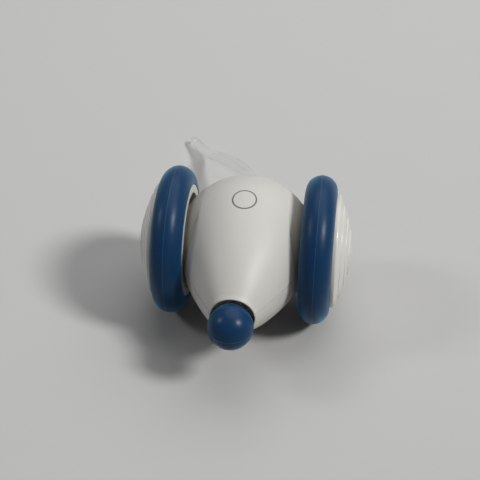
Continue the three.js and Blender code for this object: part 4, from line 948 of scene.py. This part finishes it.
def make_side(side, word):
    """The flank cover, tyre, rim and hub cap of the left (1) or right (-1) side."""
    wheel = f"{word}_wheel"
    cover = on_side(f"{word}_flank", eased(cover_profile(), COVER_EDGE), side)
    cut_screw_holes(cover, word)
    dress(cover, "cover", [f"{word}_side_cover"])
    tyre = on_side(f"{word}_tyre_tread", tyre_profile(), side)
    dress(tyre, "tyre", [f"{word}_tyre"], wheel)
    rim = on_side(f"{word}_rim", eased(rim_profile(), RIM_EDGE), side)
    dress(rim, "rim", [f"{word}_wheel_rim"], wheel)
    cap = on_side(f"{word}_cap", cap_profile(), side, closes=False)
    dress(cap, "cap", [f"{word}_hub_cap"], wheel, degrees=50)


def cut_screw_holes(cover, word):
    holes = []
    reach = Vector((SCREW_HOLE_REACH, 0, 0))
    for i in (1, 2):
        centre = middle(f"{word}_cover_screw_{i}")
        holes.append(rod("hole_cutter", SCREW_HOLE_RADIUS, centre - reach, centre + reach))
    boolean(cover, join("hole_cutters", holes))


def tyre_profile():
    """The round tread with its fine moulding line, and the beads that sit in the rim."""
    ring = TYRE_RADIUS - TYRE_SECTION_RADIUS
    lip = FLANGE_RADIUS + SEAT_GAP
    bead = FLANGE_RADIUS - RIM_SEAT_DEPTH + SEAT_GAP
    half = math.acos((lip - ring) / TYRE_SECTION_RADIUS)
    line = TYRE_LINE_WIDTH / 2 / TYRE_SECTION_RADIUS
    sunk = TYRE_SECTION_RADIUS - TYRE_LINE_HEIGHT
    centre = (ring, WHEEL_MID)
    inner, outer = WHEEL_MID - TYRE_BEAD_HALF_WIDTH, WHEEL_MID + TYRE_BEAD_HALF_WIDTH
    profile = [(bead, inner), (lip, inner)]
    profile += arc(sunk, -half, -2 * line, TYRE_STEPS, centre)
    profile += arc(TYRE_SECTION_RADIUS, -line, line, TYRE_LINE_STEPS, centre)
    profile += arc(sunk, 2 * line, half, TYRE_STEPS, centre)
    return profile + [(lip, outer), (bead, outer)]


def rim_profile():
    seat = FLANGE_RADIUS - RIM_SEAT_DEPTH
    drum = seat - RIM_WALL
    seat_half = TYRE_BEAD_HALF_WIDTH + SEAT_GAP
    flange = seat_half + RIM_FLANGE_WIDTH
    web_inner = COVER_FACE + SEAT_GAP + SCREW_HEAD_HEIGHT + WEB_CLEARANCE
    web_outer = web_inner + WEB_THICKNESS
    return [
        (BORE_RADIUS, HUB_INNER),
        (HUB_RADIUS, HUB_INNER),
        (HUB_RADIUS, web_inner),
        (drum, web_inner),
        (drum, WHEEL_MID - flange),
        (FLANGE_RADIUS, WHEEL_MID - flange),
        (FLANGE_RADIUS, WHEEL_MID - seat_half),
        (seat, WHEEL_MID - seat_half),
        (seat, WHEEL_MID + seat_half),
        (FLANGE_RADIUS, WHEEL_MID + seat_half),
        (FLANGE_RADIUS, WHEEL_MID + flange),
        (drum, WHEEL_MID + flange),
        (drum, web_outer),
        (HUB_RADIUS, web_outer),
        (HUB_RADIUS, HUB_OUTER),
        (BORE_RADIUS, HUB_OUTER),
    ]


def cap_profile():
    """A shallow dome in terraces with a round edge, closed below by its own wall and spigot."""
    edge_height = WHEEL_MID + CAP_EDGE_STAND
    crown = CAP_APEX - edge_height - len(CAP_STEP_SHARES) * CAP_STEP
    dome_radius = (FLANGE_RADIUS ** 2 + crown ** 2) / (2 * crown)

    def dome(radius):
        return edge_height + math.sqrt(dome_radius ** 2 - radius ** 2) - dome_radius + crown

    rim = FLANGE_RADIUS - CAP_EDGE
    stops = [0] + [share * FLANGE_RADIUS for share in CAP_STEP_SHARES] + [rim]
    outside = []
    for level, (start, end) in enumerate(zip(stops, stops[1:])):
        above = (len(CAP_STEP_SHARES) - level) * CAP_STEP
        start = start + CAP_STEP / 4 if level else 0
        end = end - CAP_STEP / 4 if above else end
        for i in range(CAP_TERRACE_STEPS + 1):
            radius = start + (end - start) * i / CAP_TERRACE_STEPS
            outside.append((radius, dome(radius) + above))
    outside += arc(CAP_EDGE, math.pi / 2, 0, CAP_EDGE_STEPS, (rim, dome(rim) - CAP_EDGE))[1:]
    seat = WHEEL_MID + TYRE_BEAD_HALF_WIDTH + SEAT_GAP + RIM_FLANGE_WIDTH + CAP_JOINT
    spigot = FLANGE_RADIUS - RIM_SEAT_DEPTH - RIM_WALL - SEAT_GAP
    inside = [
        (FLANGE_RADIUS, seat),
        (spigot, seat),
        (spigot, CAP_INNER),
        (spigot - CAP_WALL, CAP_INNER),
        (spigot - CAP_WALL, dome(spigot) - CAP_WALL),
        (spigot / 2, dome(spigot / 2) - CAP_WALL),
        (0, dome(0) - CAP_WALL),
    ]
    return eased(outside + inside, CAP_CORNER, closes=False, sharp=CAP_SHARP)


# Nose


def make_nose():
    """The rubber ball, moulded in halves that meet on a level line, open at the back."""
    line = NOSE_SEAM_WIDTH / 2 / BALL_RADIUS
    sunk = BALL_RADIUS - NOSE_SEAM_HEIGHT
    profile = arc(sunk, -math.pi / 2, -2 * line, NOSE_STEPS)
    profile += arc(BALL_RADIUS, -line, line, NOSE_SEAM_STEPS)
    profile += arc(sunk, 2 * line, math.pi / 2, NOSE_STEPS)
    ball = turned("nose_skin", profile, closes=False)
    place(ball, location=BALL_CENTRE)
    behind = BALL_CENTRE + Vector((0, 2 * BALL_RADIUS, 0))
    mouth = rod("mouth_cutter", NOSE_MOUTH_RADIUS, BALL_CENTRE, behind)
    inner = BALL_RADIUS - NOSE_BALL_WALL
    half_turn = arc(inner, -math.pi / 2, math.pi / 2, NOSE_HOLLOW_STEPS)
    hollow = turned("nose_hollow", half_turn, closes=False)
    place(hollow, location=BALL_CENTRE)
    boolean(ball, hollow)
    boolean(ball, mouth)
    dress(ball, "nose", ["nose_ball"], "nose")


def make_nose_spring():
    """The wire spring behind the ball, drawn as a fixed coil; on the toy it shortens as the ball is
    pushed in.
    """
    low, high = ends("nose_spring")
    coil = (high.x - low.x) / 2 - SPRING_WIRE_RADIUS
    run = high.y - low.y - 2 * SPRING_WIRE_RADIUS
    steps = SPRING_TURNS * SPRING_STEPS
    points = []
    for i in range(steps + 1):
        angle = 2 * math.pi * i / SPRING_STEPS
        along = low.y + SPRING_WIRE_RADIUS + run * i / steps
        centre = Vector((coil * math.cos(angle), along, AXLE.z + coil * math.sin(angle)))
        points.append((centre, SPRING_WIRE_RADIUS))
    spring = wire("nose_coil", points, SPRING_RESOLUTION)
    dress(spring, "steel", ["nose_spring"], degrees=60)
    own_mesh(spring)


def wire(name, points, resolution=WIRE_RESOLUTION):
    """A round solid along points, each with its own radius, made from a bevelled curve."""
    thickest = max(radius for _, radius in points)
    curve = bpy.data.curves.new(name, "CURVE")
    curve.dimensions = "3D"
    curve.bevel_depth = thickest
    curve.bevel_resolution = resolution
    curve.use_fill_caps = True
    spline = curve.splines.new("POLY")
    spline.points.add(len(points) - 1)
    for point, (centre, radius) in zip(spline.points, points):
        point.co = (*centre, 1)
        point.radius = radius / thickest
    obj = bpy.data.objects.new(name, curve)
    bpy.context.collection.objects.link(obj)
    only(obj)
    bpy.ops.object.convert(target="MESH")
    obj = named(name)
    outward(obj)
    return obj


# Tail


def spline_point(points, i, t):
    """A point at t between points i and i + 1 of the smooth curve that three.js draws."""
    p1, p2 = points[i], points[i + 1]
    p0 = points[i - 1] if i > 0 else 2 * p1 - p2
    p3 = points[i + 2] if i + 2 < len(points) else 2 * p2 - p1
    d0, d1, d2 = (max((b - a).length, 1e-6) ** 0.5 for a, b in ((p0, p1), (p1, p2), (p2, p3)))
    m1 = ((p1 - p0) / d0 - (p2 - p0) / (d0 + d1) + (p2 - p1) / d1) * d1
    m2 = ((p2 - p1) / d1 - (p3 - p1) / (d1 + d2) + (p3 - p2) / d2) * d1
    square, cube = t * t, t ** 3
    return (
        p1 * (2 * cube - 3 * square + 1) + m1 * (cube - 2 * square + t)
        + p2 * (3 * square - 2 * cube) + m2 * (cube - square)
    )


def tail_centre_line():
    """Evenly spaced points of the tail's centre line, from its flange to its tip, with radii."""
    drop = AXLE.z - TAIL_TIP_RADIUS
    flange_back = Vector((0, COLLAR_FRONT - SEAT_GAP, AXLE.z))
    knots = [flange_back, Vector((0, TAIL_MOUTH + COLLAR_DEPTH, AXLE.z))]
    for sweep, reach, fall in TAIL_SHARES:
        y, z = AXLE.y + TAIL_REACH * reach, AXLE.z - drop * fall
        knots.append(Vector((-TAIL_SWEEP * sweep, y, z)))
    fine = []
    for i in range(len(knots) - 1):
        fine += [spline_point(knots, i, k / TAIL_SPAN_STEPS) for k in range(TAIL_SPAN_STEPS)]
    fine.append(knots[-1])
    lengths = [0]
    for a, b in zip(fine, fine[1:]):
        lengths.append(lengths[-1] + (b - a).length)
    line = []
    step = 0
    for i in range(TAIL_POINTS + 1):
        share = i / TAIL_POINTS
        while step + 2 < len(fine) and lengths[step + 1] < share * lengths[-1]:
            step += 1
        part = (share * lengths[-1] - lengths[step]) / (lengths[step + 1] - lengths[step])
        radius = TAIL_ROOT_RADIUS + (TAIL_TIP_RADIUS - TAIL_ROOT_RADIUS) * share
        point = fine[step].lerp(fine[step + 1], part)
        point.z = max(point.z, radius)
        line.append((point, radius))
    return line


def make_tail():
    """A clear tube of one curve, with its flange inside the collar and a rounded tip."""
    line = tail_centre_line()
    flange_back = line[0][0]
    rings = [
        (flange_back - Vector((0, TAIL_FLANGE_THICKNESS, 0)), TAIL_END_RADIUS),
        (flange_back - Vector((0, TAIL_FLANGE_STEP, 0)), TAIL_END_RADIUS),
        *line,
    ]
    end, along = line[-1][0], (line[-1][0] - line[-2][0]).normalized()
    for i in range(1, TAIL_TIP_STEPS + 1):
        angle = math.pi / 2 * i / (TAIL_TIP_STEPS + TAIL_TIP_CLOSING)
        centre = end + along * TAIL_TIP_SHARE * TAIL_TIP_RADIUS * math.sin(angle)
        rings.append((centre, TAIL_TIP_RADIUS * math.cos(angle)))
    tail = wire("clear_tail", rings)
    dress(tail, "clear", ["tail"], degrees=45)


def make_collar():
    """The bush that holds the tail, with its flange on the shells."""
    seat = TAIL_MOUTH + SEAT_GAP
    bore = TAIL_ROOT_RADIUS + SEAT_GAP
    outside = bore + COLLAR_WALL
    outer = corner("tail_collar", True).y
    profile = [
        (bore, COLLAR_FRONT),
        (outside, COLLAR_FRONT),
        (outside, seat),
        (COLLAR_OUTER_RADIUS, seat),
        (COLLAR_OUTER_RADIUS - (outer - seat) / 2, outer),
        (bore, outer),
    ]
    collar = turned("collar_skin", eased(profile, COLLAR_EDGE))
    place(collar, location=(0, 0, AXLE.z), rotation=(-math.pi / 2, 0, 0))
    dress(collar, "shell_lower", ["tail_collar"])


# Port, button and screws


def flat_bar(name, size, front_y, centre_z):
    """A plain bar centred on the body, of a width, depth and height, that runs back."""
    width, depth, height = size
    low = (-width / 2, front_y, centre_z - height / 2)
    return block(name, low, (width / 2, front_y + depth, centre_z + height / 2))


def slot_bar(name, size, front_y, centre_z):
    """A flat bar with a stadium section."""
    bar = flat_bar(name, size, front_y, centre_z)
    for edge in bar.data.edges:
        a, b = (bar.data.vertices[v].co for v in edge.vertices)
        edge.select = abs(a.y - b.y) > size[1] / 2
    round_edges(bar, size[2] * PORT_ROUND_SHARE, PORT_ROUND_STEPS, sharpness=None)
    return bar


def make_port():
    low, high = ends("usb_port")
    width, depth, height = high - low
    centre = (low.z + high.z) / 2
    can = slot_bar("port_can", (width, depth, height), low.y, centre)
    size = (width - 2 * PORT_SKIN, depth, height - 2 * PORT_SKIN)
    boolean(can, slot_bar("port_hollow", size, low.y + PORT_SKIN, centre))
    blade = flat_bar("port_blade", PORT_BLADE, low.y, centre)
    round_edges(blade, PORT_BLADE_EDGE)
    dress(can, "steel", ["usb_port"])
    dress(blade, "switch", ["usb_port"])


def make_button():
    low, high = ends("power_button")
    dish = low.z + BUTTON_DISH_DEPTH
    seat = BELLY_PAD_TOP + SEAT_GAP
    profile = [
        (0, dish),
        (BUTTON_DISH_RADII[0], dish),
        (BUTTON_DISH_RADII[1], low.z),
        (BUTTON_RADIUS, low.z),
        (BUTTON_RADIUS, seat),
        (high.x, seat),
        (high.x, seat + BUTTON_FLANGE),
        (BUTTON_STEM_RADIUS, seat + BUTTON_FLANGE),
        (BUTTON_STEM_RADIUS, high.z),
        (0, high.z),
    ]
    button = turned("belly_button", eased(profile, BUTTON_EDGE, closes=False), closes=False)
    place(button, location=(0, AXLE.y, 0))
    dress(button, "button", ["power_button"], "button")


def cross_screw(length):
    """A pan-headed screw with a cross recess: its head stands on zero, its point is down."""
    profile = [
        *SCREW_HEAD,
        (SCREW_RADIUS, 0),
        (SCREW_RADIUS, SCREW_POINT_LENGTH - length),
        (SCREW_POINT_RADIUS, -length),
        (0, -length),
    ]
    screw = turned("cross_screw", profile, closes=False, segments=SMALL_SEGMENTS)
    low, high = RECESS_HEIGHTS
    for x, y in (RECESS_HALF_SIZE, RECESS_HALF_SIZE[::-1]):
        blade = block("recess_blade", (-x, -y, low), (x, y, high))
        boolean(screw, blade)
    return screw


def set_screw(pattern, node, location, rotation):
    screw = copy_of(pattern, node + "_head")
    place(screw, location=location, rotation=rotation)
    dress(screw, "steel", [node])


def make_screws():
    """One screw of each length, copied to every place where a head shows."""
    driven, short = cross_screw(SHELL_SCREW_LENGTH), cross_screw(COVER_SCREW_LENGTH)
    for i, (node, (x, y)) in enumerate(zip(SHELL_SCREWS, SCREW_PLACES), 1):
        seat = corner(node, False).z + SCREW_HEAD_HEIGHT
        set_screw(driven, node, (x, y, seat), (math.pi, 0, SCREW_TURN * i))
    for side, word in ((1, "left"), (-1, "right")):
        for i in (1, 2):
            node = f"{word}_cover_screw_{i}"
            seat = corner(node, side > 0).x - side * SCREW_HEAD_HEIGHT
            _, y, z = middle(node)
            set_screw(short, node, (seat, y, z), (0, side * math.pi / 2, 0))
    remove(driven, short)


# Camera, floor and light


def make_camera():
    look = Vector((
        -math.cos(CAMERA_ELEVATION) * math.sin(CAMERA_TURN),
        math.cos(CAMERA_ELEVATION) * math.cos(CAMERA_TURN),
        -math.sin(CAMERA_ELEVATION),
    ))
    right = look.cross(Vector((0, 0, 1))).normalized()
    up = right.cross(look)
    data = bpy.data.cameras.new("camera")
    data.lens = CAMERA_LENS
    data.sensor_width = 36
    data.clip_start = 10 * MM
    camera = bpy.data.objects.new("camera", data)
    turn = Matrix((right, up, -look)).transposed()
    camera.matrix_world = turn.to_4x4()
    camera.location = AXLE - CAMERA_ACROSS * right - CAMERA_UP * up - CAMERA_DISTANCE * look
    bpy.context.collection.objects.link(camera)
    bpy.context.scene.camera = camera


def make_floor():
    floor = primitive("studio_floor", bpy.ops.mesh.primitive_plane_add, size=4)
    material, shader = blank_material("floor_paper")
    skin_of(material, shader, FLOOR_GREY, 0.01, 0.75, 300)
    floor.data.materials.append(material)


def make_lamp(name, direction, colour, strength, size, distance=None):
    """A soft lamp that shines on the toy: far away as a sun, or as a round panel at a distance."""
    data = bpy.data.lights.new(name, "AREA" if distance else "SUN")
    if distance:
        data.shape = "DISK"
        data.size = size
    else:
        data.angle = size
    data.energy = strength
    data.color = colour
    lamp = bpy.data.objects.new(name, data)
    aim = Vector(direction).normalized()
    lamp.location = AXLE + (distance or 1) * aim
    lamp.rotation_euler = aim.to_track_quat("Z", "Y").to_euler()
    bpy.context.collection.objects.link(lamp)


def make_light():
    """A dim surround that the camera, gloss and clear plastic see as a pale backdrop."""
    world = bpy.data.worlds.new("studio")
    bpy.context.scene.world = world
    world.use_nodes = True
    tree = world.node_tree
    rays = tree.nodes.new("ShaderNodeLightPath")
    seen = rays.outputs["Is Camera Ray"]
    for other in ("Is Glossy Ray", "Is Transmission Ray"):
        seen = maths(tree, "ADD", seen, rays.outputs[other], clamp=True)
    level = maths(tree, "MULTIPLY", seen, BACKDROP_LEVEL - SURROUND_LEVEL)
    level = maths(tree, "ADD", level, SURROUND_LEVEL)
    fill(tree, tree.nodes["Background"], Color=SURROUND_GREY, Strength=level)
    for lamp in LAMPS:
        make_lamp(*lamp)
    bpy.context.scene.view_settings.view_transform = "Standard"


def finish_cad_nodes():
    """The pieces kept from the frame get their own finishes, by the longest word that fits."""
    words = [(word, finish) for finish, names in KEPT_FINISHES.items() for word in names]
    words.sort(key=lambda pair: -len(pair[0]))
    for name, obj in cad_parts.items():
        for word, finish in words:
            if word in name:
                obj.data.materials.clear()
                obj.data.materials.append(materials[finish])
                break


make_camera()
finish_cad_nodes()
make_shells()
for side, word in ((1, "left"), (-1, "right")):
    make_side(side, word)
make_nose()
make_nose_spring()
make_tail()
make_collar()
make_port()
make_button()
make_screws()
make_floor()
make_light()
deselect_all()
